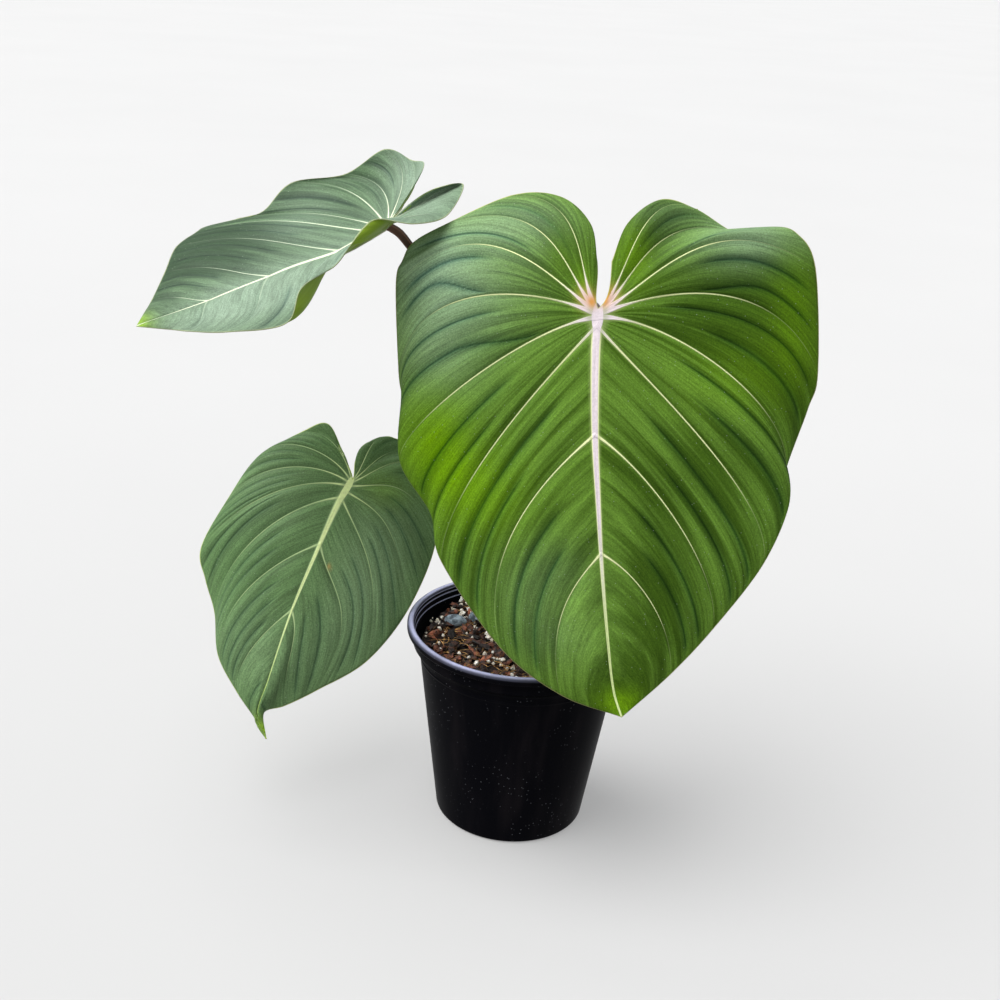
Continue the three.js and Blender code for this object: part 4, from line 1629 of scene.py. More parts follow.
@dataclass(frozen=True)
class Scatter:
    """How one kind of bit lies: how many, how knocked about, how high and how far tilted."""

    count: int
    knock: float
    lift: float
    tilt: float
    sides: int


@dataclass
class PottingMix:
    """The mix that fills the pot: a crumbly body with bark, coir, perlite and pumice on top.

    Top is the height that the surface is measured from, swell how far it goes up and down, and
    mound a low rise. A heap is a place where perlite lies close: (x, y, spread, how many grains).
    A pumice lump is (x, y, long, wide, high, turn in degrees), with half sizes. Lengths are in
    millimetres.
    """

    top: float = 128.0
    swell: float = 1.6
    seed: int = 11
    mound: Patch = Patch(-42, 50, 26, 20, 6.0)
    # The pot's inside at the top of the mix, and the height of the mix's underside.
    inside_radius: float = 67.6
    bottom: float = 3.3
    body_sides: int = 150
    bark: Scatter = Scatter(460, 0.24, 0.7, 0.42, 7)
    perlite: Scatter = Scatter(230, 0.2, 1.1, 1.0, 6)
    fibres: int = 430
    heaps: tuple[tuple[float, ...], ...] = (
        (-36, 36, 7, 34), (-13, 4, 9, 22), (-44, 6, 12, 10), (-60, 21, 2.2, 8),
    )
    # The power that makes most bits dark and a few pale.
    uneven: float = 2.1
    pumice: tuple[tuple[float, ...], ...] = (
        (-46.0, 20.0, 8.0, 5.6, 4.4, 10.0),
        (-32.0, 28.0, 6.6, 5.2, 4.4, 60.0),
    )
    pits: int = 26

    def surface(self, x: Array, y: Array) -> Array:
        """Height above top: sin times cos of the place, a quicker sine and a low mound."""
        slow = np.sin(x / 9 + 1.3) * np.cos(y / 11 - 0.4)
        return self.swell * (slow + 0.5 * np.sin((x + y) / 5)) + self.mound.at(x, y)

    def build(self, finishes: dict[Bit, Material], earth: Material) -> None:
        """Builds the body and the bits on it, each kind as one piece.

        Args:
            finishes: the materials by kind of bit.
            earth: the body's material.
        """
        rng = np.random.default_rng(self.seed)
        self.build_body(rng, earth)
        self.scatter(Bit.BARK, self.bark, rng, finishes[Bit.BARK])
        self.scatter_coir(rng, finishes[Bit.COIR])
        self.scatter(Bit.PERLITE, self.perlite, rng, finishes[Bit.PERLITE])
        self.build_pumice(rng, finishes[Bit.PUMICE])

    def build_body(self, rng: Draw, earth: Material) -> None:
        """Builds the body: rings of points up the wall and over the top, sunk and lumpy.

        The height on top is the surface plus small random lumps. The radius follows the pot.

        Args:
            rng: the seeded draw.
            earth: its material.
        """
        pot = NurseryPot()
        wall = [(pot.wall_radius(z) - pot.wall - 0.35, z) for z in (self.bottom, 40, 80, 120)]
        over = [(r, self.top) for r in np.linspace(66.5, 1.5, 46)]
        rings = np.array([*wall, (self.inside_radius, 125.5), *over])
        grid = turned_rings(rings, self.body_sides)
        x, y = grid[..., 0], grid[..., 1]
        lumps = rng.normal(0, 0.55, x.shape) + np.abs(rng.normal(0, 0.5, x.shape))
        on_top = rings[:, 1:] > self.top - 0.1
        grid[..., 2] += on_top * (self.surface(x, y) + lumps - 1.2)
        centre = self.top + float(self.surface(np.array(0.0), np.array(0.0))) - 1.0
        points = np.vstack([grid.reshape(-1, 3), [[0, 0, self.bottom], [0, 0, centre]]])
        faces = grid_quads(len(rings), self.body_sides, True).tolist()
        faces += end_fans(len(rings), self.body_sides).tolist()
        shade = np.clip(rng.normal(0.45, 0.2, len(points)), 0, 1)
        piece = make_mesh_object("mix_body", points, faces, {"shade": shade})
        place_piece(piece, "soil", earth)

    def spots(self, count: int, rng: Draw, reach: float, room: float) -> Array:
        """Random places on the mix, clear of the creeping stem.

        Args:
            count: how many places.
            rng: the seeded draw.
            reach: the greatest distance from the middle.
            room: how far to stay from the stem's line.

        Returns:
            One (x, y) a place.
        """
        stem, _ = smooth_path(Rhizome().path, 60)
        found = np.empty((0, 2))
        while len(found) < count:
            r = reach * np.sqrt(rng.random(count))
            a = rng.random(count) * 2 * np.pi
            spot = np.stack([r * np.cos(a), r * np.sin(a)], 1)
            apart = np.linalg.norm(spot[:, None] - stem[None, :, :2], axis=-1).min(1)
            found = np.vstack([found, spot[apart > room]])
        return found[:count]

    def sizes(self, kind: Bit, count: int, rng: Draw) -> Array:
        """Random half sizes: long flat chips of bark, or nearly round grains of perlite.

        Args:
            kind: bark or perlite.
            count: how many.
            rng: the seeded draw.

        Returns:
            One (long, wide, high) a bit.
        """
        if kind is Bit.BARK:
            length = rng.uniform(1.6, 5.0, count) * rng.uniform(0.8, 1.5, count)
            wide = length * rng.uniform(0.3, 0.62, count)
            return np.stack([length, wide, rng.uniform(0.8, 2.0, count)], 1)
        length = rng.uniform(0.8, 1.9, count)
        return np.stack([length, length * rng.uniform(0.8, 1, count), length * 0.85], 1)

    def scatter(
        self, kind: Bit, habit: Scatter, rng: Draw, finish: Material
    ) -> None:
        """Builds one kind of small bit many times over, as one piece.

        Each bit is the template scaled, knocked about by random numbers, turned and put down.

        Args:
            kind: bark or perlite.
            habit: how it lies.
            rng: the seeded draw.
            finish: the material.
        """
        count = habit.count
        shape, faces = lump(4, habit.sides)
        size = self.sizes(kind, count, rng)
        local = shape[None] * (1 + rng.normal(0, habit.knock, (count, len(shape), 1)))
        local = local * size[:, None]
        spot = self.spots(count, rng, 65.0, 8.8)
        if kind is Bit.PERLITE:
            first = 0
            for x, y, wide, number in self.heaps:
                last = first + int(number)
                spot[first:last] = rng.normal((x, y), wide, (last - first, 2))
                first = last
        turn, tilt = rng.uniform(0, 2 * np.pi, count), rng.normal(0, habit.tilt, count)
        base = self.top + self.surface(spot[:, 0], spot[:, 1]) + habit.lift * size[:, 2] * 0.6
        base = base + rng.uniform(-0.8, 1.3, count)
        points = turn_about(local, turn, tilt)
        points = points + np.concatenate([spot, base[:, None]], 1)[:, None]
        points = self.keep_in(points).reshape(-1, 3)
        shade = np.repeat(rng.random(count) ** self.uneven, len(shape))
        faces = repeated(faces, count, len(shape))
        piece = make_mesh_object(f"mix_{kind.value}", points, faces, {"shade": shade})
        place_piece(piece, "soil", finish)
        piece.data.shade_flat()

    def keep_in(self, points: Array) -> Array:
        """The points, with those past the pot's inner wall pulled back to it."""
        r = np.maximum(np.hypot(points[..., :1], points[..., 1:2]), 1e-6)
        return points * np.where([1, 1, 0], np.minimum(1.0, self.inside_radius / r), 1.0)

    def scatter_coir(self, rng: Draw, finish: Material) -> None:
        """Builds the coir fibres: thin four-sided tubes along gentle arcs.

        A fibre's line is a straight run plus a parabola sideways and one upwards.

        Args:
            rng: the seeded draw.
            finish: the material.
        """
        count, steps, sides = self.fibres, 7, 4
        up = np.array([0, 0, 1.0])
        spot = self.spots(count, rng, 61.0, 9.0)
        f = np.linspace(-1, 1, steps)[None, :, None]
        heading = rng.uniform(0, 2 * np.pi, count)
        ahead = np.stack([np.cos(heading), np.sin(heading), rng.normal(0, 0.14, count)], 1)
        aside = np.stack([-np.sin(heading), np.cos(heading), 0 * heading], 1)
        half = rng.uniform(2.5, 8, (count, 1, 1))
        bend = rng.normal(0, 0.32, (count, 1, 1))
        arch = rng.uniform(0, 0.16, (count, 1, 1))
        line = half * (f * ahead[:, None] + bend * f**2 * aside[:, None])
        line = line + half * arch * (1 - f**2) * up
        base = self.top + self.surface(spot[:, 0], spot[:, 1]) + rng.uniform(0.3, 2.2, count)
        line = line + np.concatenate([spot, base[:, None]], 1)[:, None]
        a = circle(sides)[None, None, :, None]
        thick = rng.uniform(0.14, 0.34, (count, 1, 1, 1)) * (1 - 0.6 * f[..., None] ** 2)
        around = np.cos(a) * aside[:, None, None] + np.sin(a) * up
        points = self.keep_in(line[:, :, None] + thick * around).reshape(-1, 3)
        ends = np.array([[3, 2, 1, 0], [(steps - 1) * sides + k for k in range(4)]])
        faces = np.vstack([grid_quads(steps, sides, True), ends])
        shade = np.repeat(rng.random(count), steps * sides)
        faces = repeated(faces, count, steps * sides)
        piece = make_mesh_object("mix_coir", points, faces, {"shade": shade})
        place_piece(piece, "soil", finish)

    def build_pumice(self, rng: Draw, finish: Material) -> None:
        """Builds the pumice lumps: balls with rounded facets and pits.

        The radius is 1 plus a slow wave, sin(3x) cos(4y), less shallow bells in random directions.

        Args:
            rng: the seeded draw.
            finish: the material.
        """
        shape, faces = lump(26, 40)
        points = []
        for number, (x, y, long, wide, high, turn) in enumerate(self.pumice):
            radius = 1 + 0.1 * np.sin(3 * shape[:, 0] + number) * np.cos(4 * shape[:, 1] + 2)
            pits = rng.normal(0, 1, (self.pits, 3))
            pits /= np.linalg.norm(pits, axis=1)[:, None]
            depth = rng.uniform(0.02, 0.09, self.pits)
            radius = radius - (depth * np.exp(-(1 - shape @ pits.T) / 0.035)).sum(1)
            body = shape * radius[:, None] * np.array([long, wide, high])
            body = turn_about(body[None], np.array([math.radians(turn)]), np.array([0.1]))[0]
            height = self.top + float(self.surface(np.array(x), np.array(y))) + high * 0.35
            points.append(body + np.array([x, y, height]))
        faces = repeated(faces, len(points), len(shape))
        points = np.vstack(points)
        shade = {"shade": np.full(len(points), 0.55)}
        piece = make_mesh_object("mix_pumice", points, faces, shade)
        place_piece(piece, "soil", finish)


def repeated(faces: Array, count: int, points: int) -> list:
    """The faces of many copies of a shape that has so many points, copy after copy."""
    first = np.arange(count)[:, None, None] * points
    return (first + faces[None]).reshape(-1, faces.shape[1]).tolist()


def lump(rings: int, sides: int) -> tuple[Array, Array]:
    """A closed ball of radius 1: rings between two poles.

    Args:
        rings: rings of points between the poles.
        sides: points in a ring.

    Returns:
        The points and its triangles.
    """
    polar = np.pi * (np.arange(rings) + 1) / (rings + 1)
    points = turned_rings(np.stack([np.sin(polar), -np.cos(polar)], 1), sides).reshape(-1, 3)
    quads = grid_quads(rings, sides, True)
    tri = np.vstack([quads[:, [0, 1, 2]], quads[:, [0, 2, 3]], end_fans(rings, sides)])
    return np.vstack([points, [[0, 0, -1.0], [0, 0, 1.0]]]), tri


def turn_about(points: Array, turn: Array, tilt: Array) -> Array:
    """Tilts each set of points about y, then turns it about z.

    Args:
        points: sets by points by x, y, z.
        turn: angles about z, one a set.
        tilt: angles about y, one a set.

    Returns:
        The turned points.
    """
    c, s = np.cos(tilt)[:, None], np.sin(tilt)[:, None]
    x = c * points[..., 0] + s * points[..., 2]
    z = -s * points[..., 0] + c * points[..., 2]
    c, s = np.cos(turn)[:, None], np.sin(turn)[:, None]
    return np.stack([c * x - s * points[..., 1], s * x + c * points[..., 1], z], -1)


# ---- The plant's tables


FRONT_BLADE = Blade(
    name="front_blade",
    node="leaf_front",
    slot="leaf_front",
    joint=(31, -60, 383),
    tip=(65, -115, 144),
    face=(-0.05, -0.97, 0.22),
    push=0.25,
    rise=0.0,
    cup=0.35,
    midrib=[
        (0, 0, 0), (25, 3, 2), (72, 6, 5), (113, 6.6, 6), (155, 6.7, 5), (199, 5.7, 2),
        (231, 4, -1), (248, 0, 0),
    ],
    stations=[
        (1, (160, -1, -25, -8, 179, 0.46, 0), (122, 9, -25, -8, 175, 0.56, 0)),
        (1.5, (154, 2, -48, -15, 170, 0.37, 0), (120, 20, -47, -16, 154, 0.37, 0)),
        (2, (150, 19, -65, -20, 130, 0.37, 0), (119, 40, -59, -21, 110, 0.36, 0)),
        (2.4, (143, 48, -68, -26, 93, 0.58, 0.9), (118, 61, -52, -30, 62, 0.5, 0.9)),
        (3.2, (136, 90, -54, -32, 77, 0.69, 1.2), (117, 84, -37, -35, 70, 0.6, 1.2)),
        (3.6, (133.5, 110, -45, -34, 74, 0.68, 0), (116, 104, -39, -31, 88, 0.7, 0)),
        (3.9, (132, 117, -35, -32, 65, 0.65, 0), (114.5, 118, -34, -26, 78, 0.6, 0)),
        (4.2, (129, 122, -21, -30, 51, 0.63, 1.5), (112, 128, -13, -25, 52, 0.59, 1.5)),
        (5, (122, 124, 32, -26, 15, 0.5, 1.7), (110, 127, 48, -22, 20, 0.52, 1.7)),
        (5.8, (106, 123, 52, -25, -5, 0.34, 0), (102, 120, 70, -21, 4, 0.42, 0)),
        (6.5, (90, 127, 87, -22, -3, 0.15, 1.8), (92, 105, 108, -19, -13, 0.3, 1.8)),
        (9, (66, 110, 120, -19, -8, 0.2, 0), (60, 106, 126, -13, -12, 0.28, 0)),
        (11, (48, 105, 149, -14, 4, 0.25, 1.7), (38, 89, 161, -12, -20, 0.22, 1.7)),
        (74, (54, 72, 204, -10, -10, 0.44, 1.4), (54, 58, 198, -10, -10, 0.28, 1.4)),
        (145, (44, 37, 234, -6, -7, 0.54, 1.0), (60, 31, 224, -6, -6, 0.4, 1.0)),
    ],
    pleats={
        Side.LEFT: [
            (1, 0.5, 0.3, 0.52), (2, 0.62, 0.4, 0.56), (3, 1.0, 0.4, 0.5), (3, 0.3, 0.5, 0.26),
            (4, 1.0, 0.12, 0.64), (4, 0.3, 0.34, 0.33), (5, 0.36, 0.3, 0.36), (5, 0.7, 0.4, 0.68),
            (6, 0.36, 0.14, 0.37), (6, 0.68, 0.34, 0.68), (7, 0.34, 0.2, 0.34),
            (7, 0.64, 0.24, 0.66),
        ],
        Side.RIGHT: [
            (1, 0.5, 0.4, 0.5), (2, 1.0, 0.42, 0.5), (3, 0.36, 0.45, 0.33), (3, 1.0, 0.33, 0.66),
            (4, 0.38, 0.22, 0.36), (4, 0.68, 0.36, 0.68), (5, 0.36, 0.26, 0.38),
            (5, 0.7, 0.36, 0.7), (6, 0.34, 0.2, 0.36), (6, 0.68, 0.3, 0.68), (7, 0.36, 0.2, 0.36),
            (7, 0.68, 0.3, 0.66),
        ],
    },
    painted_sheen=[
        Patch(92, -18, 40, 34, 0.85), Patch(108, -42, 22, 18, 0.8), Patch(50, -52, 34, 16, 0.5),
        Patch(100, 28, 26, 26, 0.4), Patch(-92, -34, 34, 16, 0.7), Patch(-48, -54, 30, 12, 0.2),
        Patch(39, 175, 28, 32, 0.35),
    ],
    sunlit=[
        Patch(102, 80, 24, 36, 1.0), Patch(74, 108, 26, 26, 0.6), Patch(-114, 8, 14, 42, 0.4),
        Patch(8, -12, 5, 12, 0.5), Patch(-84, 46, 40, 22, 0.35), Patch(0, 240, 14, 10, 0.8),
        Patch(30, 176, 26, 20, 0.35), Patch(20, -34, 9, 18, 0.25), Patch(-22, -26, 10, 18, 0.5),
    ],
    painted_shade=[
        Patch(-86, 2, 42, 22, 1.0), Patch(-114, 22, 20, 40, 1.0), Patch(-32, -44, 18, 14, 0.6),
        Patch(5, 233, 18, 12, 0.6), Patch(-21, 172, 20, 40, 0.5), Patch(-60, 100, 40, 30, 0.4),
        Patch(20, -30, 14, 26, 0.6), Patch(-24, -30, 14, 24, 0.6),
    ],
    blush=[
        Patch(-3.6, -2.8, 2.8, 3.6, 0.9), Patch(3.4, -2.6, 2.6, 3.4, 0.9),
        Patch(-7.5, -5.5, 5.0, 6.0, 0.4), Patch(7.0, -5.5, 5.0, 6.0, 0.4),
    ],
    vein_hub=1.35,
)

UPPER_BLADE = Blade(
    name="upper_left_blade",
    node="leaf_upper_left",
    slot="leaf_left",
    joint=(-98, 5, 412),
    tip=(-234, -80, 357),
    face=(-0.26, -0.2, 0.94),
    push=0.33,
    rise=0.3,
    cup=0.65,
    midrib=[
        (0, 0, 0), (35, 0, -5.5), (72, 0, -3.5), (105, 0, -3), (143, 0, -2), (159, 0, -1),
        (170, 0, 0),
    ],
    stations=[
        (0, (178, 0, -8, 4, 175, 0.42, 0), (172, 3, -12, 6, 165, 0.42, 0)),
        (0.5, (168, 5, -32, 22, 150, 0.42, 0), (160, 11, -29, 12, 150, 0.42, 0)),
        (1, (160, 30, -35, 20, 100, 0.42, 0.7), (150, 23, -42, 12, 85, 0.42, 0.7)),
        (2, (145, 50, -27, 26, 70, 0.42, 0.9), (140, 40, -19, 5, 70, 0.42, 0.9)),
        (3, (125, 66, -2, 15, 40, 0.42, 1.0), (125, 47, 5, 11, 50, 0.42, 1.0)),
        (5, (100, 86, 28, 16, 25, 0.42, 1.1), (95, 41, 24, 20, 25, 0.42, 1.1)),
        (6.5, (88, 85, 52, 6, 30, 0.42, 0), (80, 45, 36, 20, 18, 0.42, 0)),
        (8, (75, 92, 68, 5, 26, 0.42, 1.1), (62, 51, 48, 16, 36, 0.38, 1.1)),
        (11, (68, 98, 88, 6, 20, 0.42, 0), (39, 40, 58, 3, 56, 0.48, 0)),
        (14, (62, 92, 97, 7, 5, 0.42, 1.1), (20, 62, 87, 8, 62, 0.27, 1.1)),
        (38, (54, 77, 116, 8, -5, 0.42, 0.9), (32, 68, 104, -5, 22, 0.3, 0.9)),
        (85, (50, 50, 134, 5, -8, 0.42, 0.7), (36, 48, 133, -4, -8, 0.42, 0.7)),
        (125, (48, 24, 152, 2, -12, 0.42, 0.5), (36, 26, 150, -3, -12, 0.42, 0.5)),
    ],
    pleats={
        Side.LEFT: [
            (1, 0.5, 0.4, 0.5), (2, 0.5, 0.4, 0.5), (3, 0.36, 0.3, 0.36), (3, 0.7, 0.4, 0.7),
            (4, 0.3, 0.3, 0.3), (4, 0.64, 0.35, 0.62), (5, 0.36, 0.3, 0.34), (5, 0.7, 0.35, 0.7),
            (6, 0.3, 0.2, 0.32), (6, 0.66, 0.25, 0.66), (7, 0.34, 0.2, 0.34),
            (7, 0.68, 0.25, 0.68), (8, 0.34, 0.25, 0.34), (8, 0.66, 0.25, 0.66),
        ],
        Side.RIGHT: [(3, 0.5, 0.4, 0.5), (5, 0.5, 0.45, 0.5), (7, 0.5, 0.35, 0.5)],
    },
    painted_sheen=[
        Patch(-30, 50, 42, 70, 1.0), Patch(-20, 116, 26, 40, 0.9), Patch(10, -30, 34, 22, 0.9),
        Patch(50, 40, 26, 24, 0.45),
    ],
    painted_shade=[Patch(57, 102, 34, 44, 1.0)],
    sunlit=[Patch(2, 171, 14, 10, 1.0)],
    band=(2.4, 0.35),
    band_fall=1.6,
    vein_fade=(0.35, 0.75),
    right_veins=0.25,
    puff=2.4,
    pleat_depth=0.9,
    vein_valley=0.7,
    step_mm=1.1,
    columns=40,
)

LOWER_BLADE = Blade(
    name="lower_left_blade",
    node="leaf_lower_left",
    slot="leaf_left",
    joint=(-121, 20, 232),
    tip=(-164, -56, 74),
    face=(0.09, -0.91, 0.41),
    push=0.33,
    rise=0.0,
    cup=0.35,
    midrib=[
        (0, 0, 0), (16, 3.5, 1), (52, 7, 3), (95, 10.6, 4), (145, 11, 2), (171, 10.4, -1),
        (184, 0, -5),
    ],
    stations=[
        (0, (170, 12, -16, -3, 165, 0.42, 0), (175, -2, -17, -3, 165, 0.42, 0)),
        (0.5, (160, 28, -31, -6, 150, 0.42, 0), (165, 1, -27, -6, 140, 0.42, 0)),
        (1, (150, 43, -21, -11, 70, 0.42, 0.7), (150, 16, -36, -11, 90, 0.42, 0.7)),
        (2, (137, 67, 6, -16, 21, 0.39, 0.9), (142, 32, -33, -16, 105, 0.47, 0.9)),
        (3, (108, 77, 37, -18, 23, 0.39, 1.0), (128, 51, -12, -18, 39, 0.67, 1.0)),
        (5, (85, 84, 76, -18, 20, 0.36, 1.1), (104, 67, 21, -18, 40, 0.75, 1.1)),
        (9, (85, 74, 96, -17, 0, 0.42, 0), (78, 64, 71, -16, 28, 0.67, 1.1)),
        (14, (67, 61, 115, -15, -10, 0.35, 1.1), (42, 48, 114, -11, 8, 0.56, 1.1)),
        (48, (53, 49, 141, -9, -15, 0.37, 0.9), (27, 22, 143, -8, -12, 0.66, 0.9)),
        (96, (36, 29, 160, -5, -22, 0.31, 0.7), (36, 5, 159, -5, 23, 0.45, 0.7)),
        (160, (30, 12, 173, -4, -20, 0.42, 0), (30, -7, 168, -4, -20, 0.42, 0)),
    ],
    pleats={
        Side.LEFT: [
            (1, 0.34, 0.4, 0.34), (1, 0.7, 0.4, 0.7), (2, 0.3, 0.35, 0.3), (2, 0.64, 0.35, 0.64),
            (3, 0.28, 0.3, 0.28), (3, 0.56, 0.3, 0.56), (3, 0.8, 0.4, 0.8), (4, 0.3, 0.3, 0.3),
            (4, 0.62, 0.3, 0.62), (5, 0.3, 0.25, 0.3), (5, 0.62, 0.25, 0.62), (6, 0.28, 0.2, 0.28),
            (6, 0.54, 0.2, 0.54), (6, 0.78, 0.25, 0.78), (7, 0.35, 0.2, 0.35), (7, 0.7, 0.2, 0.7),
        ],
        Side.RIGHT: [
            (1, 0.5, 0.4, 0.5), (2, 0.5, 0.4, 0.5), (3, 0.5, 0.4, 0.5), (4, 0.34, 0.35, 0.34),
            (4, 0.68, 0.35, 0.68), (5, 0.34, 0.3, 0.34), (5, 0.68, 0.3, 0.68),
            (6, 0.34, 0.25, 0.34), (6, 0.68, 0.25, 0.68), (7, 0.34, 0.2, 0.34),
            (7, 0.66, 0.2, 0.66), (8, 0.5, 0.2, 0.5),
        ],
    },
    painted_sheen=[Patch(54, 20, 34, 34, 0.35), Patch(-32, 56, 26, 60, 1.0), Patch(24, 130, 36, 30, 0.5)],
    sunlit=[Patch(6, 181, 14, 9, 1.0), Patch(-24, 0, 16, 12, 0.25)],
    blush=[Patch(-4, 61, 1.1, 1.9, 0.55)],
    band=(2.8, 0.35),
    band_fall=1.7,
    puff=2.4,
    pleat_depth=1.0,
    vein_valley=0.8,
    step_mm=1.1,
    columns=40,
)

STALKS = [
    Petiole(
        name="front_stalk",
        node="petiole_front_leaf",
        blade=FRONT_BLADE,
        base=6.4,
        middle=3.9,
        top=3.2,
        path=[(27, 14, 130), (24, 20, 170), (23, 24, 220), (25, 14, 318), (29, -22, 372)],
        knee=[(0.7, 6, -9), (0.7, 6, -3)],
        across=(1, 0, 0),
        flat_side=-90,
    ),
    Petiole(
        name="upper_left_stalk",
        node="petiole_upper_left_leaf",
        blade=UPPER_BLADE,
        base=5.2,
        middle=3.1,
        top=2.4,
        path=[
            (6, 28, 130), (8, 32, 160), (7, 33, 205), (-12, 30, 285), (-54, 18, 354),
            (-84.5, 8, 393.5),
        ],
        knee=[(-1.5, -2.0, -9.5), (-0.6, 1.0, -5.6), (0.0, 4.2, -2.4)],
        across=(0, 1, 0),
        flat_side=180,
    ),
    Petiole(
        name="lower_left_stalk",
        node="petiole_lower_left_leaf",
        blade=LOWER_BLADE,
        base=4.8,
        middle=2.9,
        top=2.3,
        path=[(-8, 42, 130), (-12, 45, 147), (-38, 46, 190), (-80, 42, 224), (-108, 34, 236)],
        knee=[(1.2, 5, -9), (1.2, 5, -3)],
        across=(0, 1, 0),
        flat_side=180,
    ),
]


# ---- Stage


@dataclass
class Studio:
    """The camera, the pale floor and the soft light. Angles are in degrees."""

    stand: Point = (0.0, -0.85, 0.58)
    yaw: float = -1.35
    pitch: float = 22.2
    roll: float = 3.7
    lens: float = 50.0
    sensor: float = 36.0
    floor_radius: float = 60.0
    floor_sides: int = 96
    # How far the floor lies below the pot, in millimetres.
    floor_drop: float = 0.4
    paper: Colour = (0.335, 0.333, 0.33)
    paper_glow: Colour = (0.32, 0.32, 0.32)
    zenith: Colour = (0.4, 0.41, 0.425)
    horizon: Colour = (0.95, 0.95, 0.97)
    below: Colour = (0.36, 0.36, 0.36)
    key: float = 4.5
    key_angle: float = 64.0
    key_from: Point = (-0.42, -0.12, 0.9)

    def add_camera(self) -> None:
        """Stands the camera up: level, then turned by yaw, pitched down and rolled."""
        data = bpy.data.cameras.new("camera")
        data.lens = self.lens
        data.sensor_width = self.sensor
        data.clip_start = 0.01
        data.clip_end = 200.0
        camera = bpy.data.objects.new("camera", data)
        turn = (
            Matrix.Rotation(math.radians(-self.yaw), 4, "Z")
            @ Matrix.Rotation(math.radians(90 - self.pitch), 4, "X")
            @ Matrix.Rotation(math.radians(self.roll), 4, "Z")
        )
        camera.matrix_world = Matrix.Translation(self.stand) @ turn
        bpy.context.scene.collection.objects.link(camera)
        bpy.context.scene.camera = camera

    def add_floor(self) -> None:
        """Lays a wide round floor of matt paper under the pot, a little darker in front."""
        a = np.linspace(0, 2 * np.pi, self.floor_sides, endpoint=False)
        r = self.floor_radius / MM
        points = np.stack([r * np.cos(a), r * np.sin(a), 0 * a - self.floor_drop], 1)
        floor = make_mesh_object("floor", points, [list(range(self.floor_sides))])
        material, sketch, shader = start_material(
            "floor paper", Roughness=0.9, Emission_Strength=1.0
        )
        place = sketch.place()
        tone = sketch.spread(sketch.noise(place, 1.3), 0.97, 1.03)
        nearer = sketch.times(sketch.step(sketch.axis(place, "Y"), 1.2, -0.5), 0.08)
        tone = sketch.maths("SUBTRACT", tone, nearer)
        for socket, colour in (("Base Color", self.paper), ("Emission Color", self.paper_glow)):
            sketch.feed(shader.inputs[socket], sketch.tint(colour, tone))
        floor.data.materials.append(material)
        floor.visible_diffuse = False
        floor.visible_glossy = False

    def add_sky(self) -> None:
        """Sets the sky: pale at the horizon, dimmer above and below."""
        world = bpy.data.worlds.new("sky")
        bpy.context.scene.world = world
        world.use_nodes = True
        sketch = Sketch(world.node_tree)
        up = sketch.axis(sketch.add("ShaderNodeTexCoord").outputs["Generated"], "Z")
        above = sketch.blend(sketch.step(up, 0.32, 0.06), self.zenith, self.horizon)
        colour = sketch.blend(sketch.step(up, 0.0, -0.06), above, self.below)
        sketch.feed(world.node_tree.nodes["Background"].inputs["Color"], colour)
        bpy.context.scene.view_settings.view_transform = "Standard"
        bpy.context.scene.view_settings.look = "None"

    def add_top_light(self) -> None:
        """Hangs a far, wide light over the plant's left, which shines towards its middle."""
        data = bpy.data.lights.new("top light", "SUN")
        data.angle = math.radians(self.key_angle)
        data.energy = self.key
        light = bpy.data.objects.new("top light", data)
        towards = Vector(self.key_from)
        turn = towards.to_track_quat("Z", "Y").to_matrix().to_4x4()
        light.matrix_world = Matrix.Translation(towards * 3) @ turn
        bpy.context.scene.collection.objects.link(light)


# ---- The whole plant


FRONT_SKIN = BladeFinish(
    "front blade skin",
    {
        "Deep": (0.05, 0.108, 0.008), "Fresh": (0.131, 0.257, 0.032),
        "Painted_sheen": (0.267, 0.39, 0.235), "Sunlit": (0.165, 0.345, 0.002),
        "Vein": (0.93, 0.98, 0.52), "Halo": (0.3, 0.4, 0.13), "Joint": (0.85, 0.75, 0.79),
        "Midrib tip": (0.76, 0.88, 0.42), "Edge": (0.5, 0.5, 0.2), "Under": (0.19, 0.33, 0.07),
        "Dip shade": 0.9,
    },
    gloss=0.05,
)
UPPER_SKIN = BladeFinish(
    "upper left blade skin",
    {
        "Deep": (0.037, 0.072, 0.034), "Fresh": (0.1, 0.172, 0.083), "Painted_sheen": (0.25, 0.34, 0.245),
        "Sunlit": (0.25, 0.42, 0.01), "Vein": (0.72, 0.8, 0.58), "Joint": (0.85, 0.86, 0.64),
        "Midrib tip": (0.75, 0.82, 0.62), "Edge": (0.4, 0.45, 0.25), "Under": (0.28, 0.42, 0.03),
        "Halo": (0.3, 0.4, 0.27), "Dip shade": 0.3,
    },
    sheen=0.1,
)
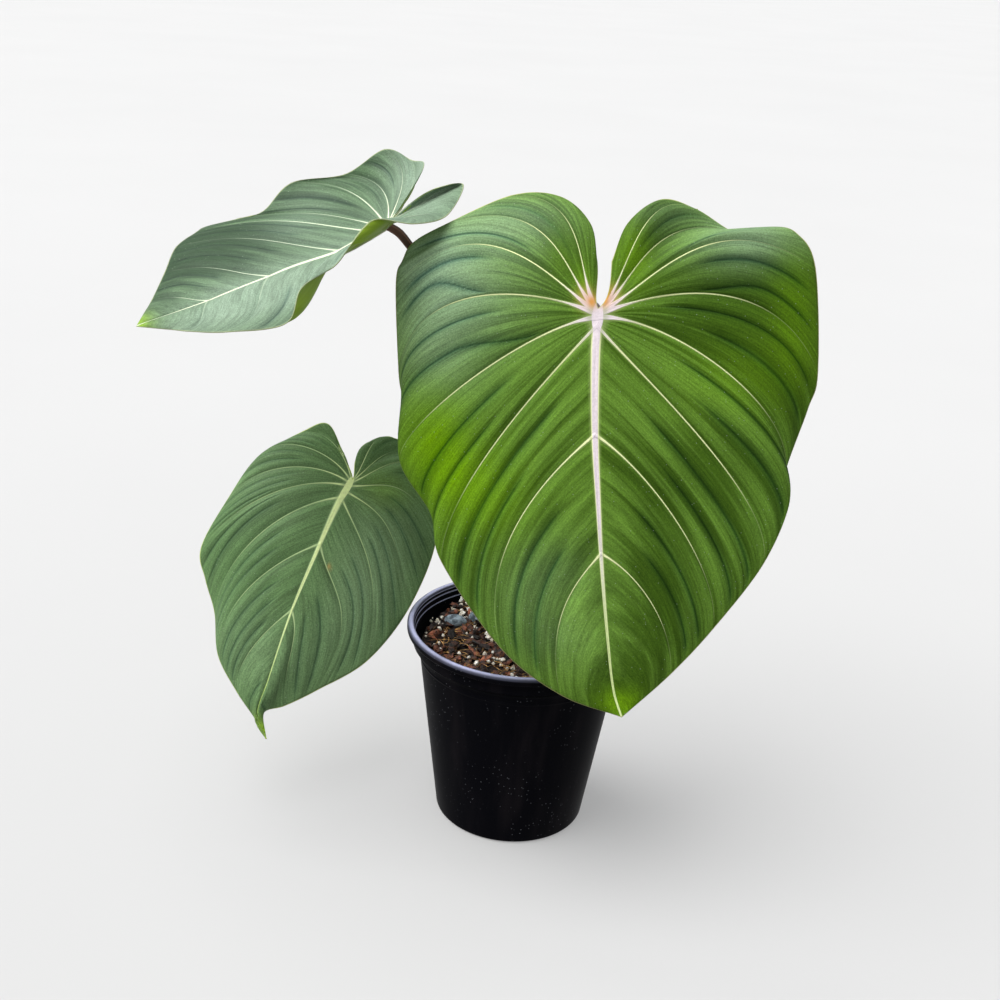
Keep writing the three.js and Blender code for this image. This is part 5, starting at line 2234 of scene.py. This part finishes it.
LOWER_SKIN = BladeFinish(
    "lower left blade skin",
    {
        "Deep": (0.088, 0.158, 0.058), "Fresh": (0.12, 0.22, 0.08), "Painted_sheen": (0.21, 0.325, 0.16),
        "Sunlit": (0.35, 0.6, 0.03), "Vein": (0.58, 0.76, 0.36), "Halo": (0.2, 0.31, 0.14),
        "Joint": (0.82, 0.96, 0.44), "Midrib tip": (0.74, 0.98, 0.22), "Edge": (0.6, 0.72, 0.2),
        "Under": (0.25, 0.4, 0.1), "Vein strength": 0.8, "Dip shade": 0.4,
    },
    sheen=0.1,
)
MIX_FINISHES = {
    Bit.BARK: MottledFinish(
        "bark", (0.01, 0.005, 0.003), (0.23, 0.07, 0.032), 240.0, 1400.0, 0.62, 0.6
    ),
    Bit.COIR: MottledFinish(
        "coir", (0.14, 0.055, 0.018), (0.5, 0.29, 0.1), 300.0, 1200.0, 0.8, 0.1
    ),
    Bit.PERLITE: MottledFinish(
        "perlite", (0.78, 0.68, 0.54), (0.98, 0.96, 0.92), 420.0, 2200.0, 0.85, 0.3, (0.95, 1.4)
    ),
    Bit.PUMICE: MottledFinish(
        "pumice", (0.07, 0.09, 0.11), (0.3, 0.37, 0.43), 260.0, 1300.0, 0.85, 0.8
    ),
}
EARTH = MottledFinish(
    "mix earth", (0.004, 0.002, 0.0015), (0.035, 0.013, 0.008), 300.0, 1500.0, 0.9, 0.8
)


def main() -> None:
    """Builds the studio, the pot, the mix, the stem, the stalks and the blades."""
    logging.basicConfig(level=logging.INFO, format="%(name)s: %(message)s")
    studio = Studio()
    studio.add_camera()
    studio.add_floor()
    studio.add_sky()
    studio.add_top_light()
    mottle = mottle_group()
    NurseryPot().build(PotFinish().make())
    mix = {kind: finish.make(mottle) for kind, finish in MIX_FINISHES.items()}
    PottingMix().build(mix, EARTH.make(mottle))
    Rhizome().build(StemFinish().make(mottle))
    stalk_skin = StalkFinish().make()
    for stalk in STALKS:
        stalk.build(stalk_skin)
    skin = VeinedSkin().make()
    FRONT_BLADE.build(FRONT_SKIN.make(skin))
    UPPER_BLADE.build(UPPER_SKIN.make(skin))
    LOWER_BLADE.build(LOWER_SKIN.make(skin))


if __name__ == "__main__":
    main()
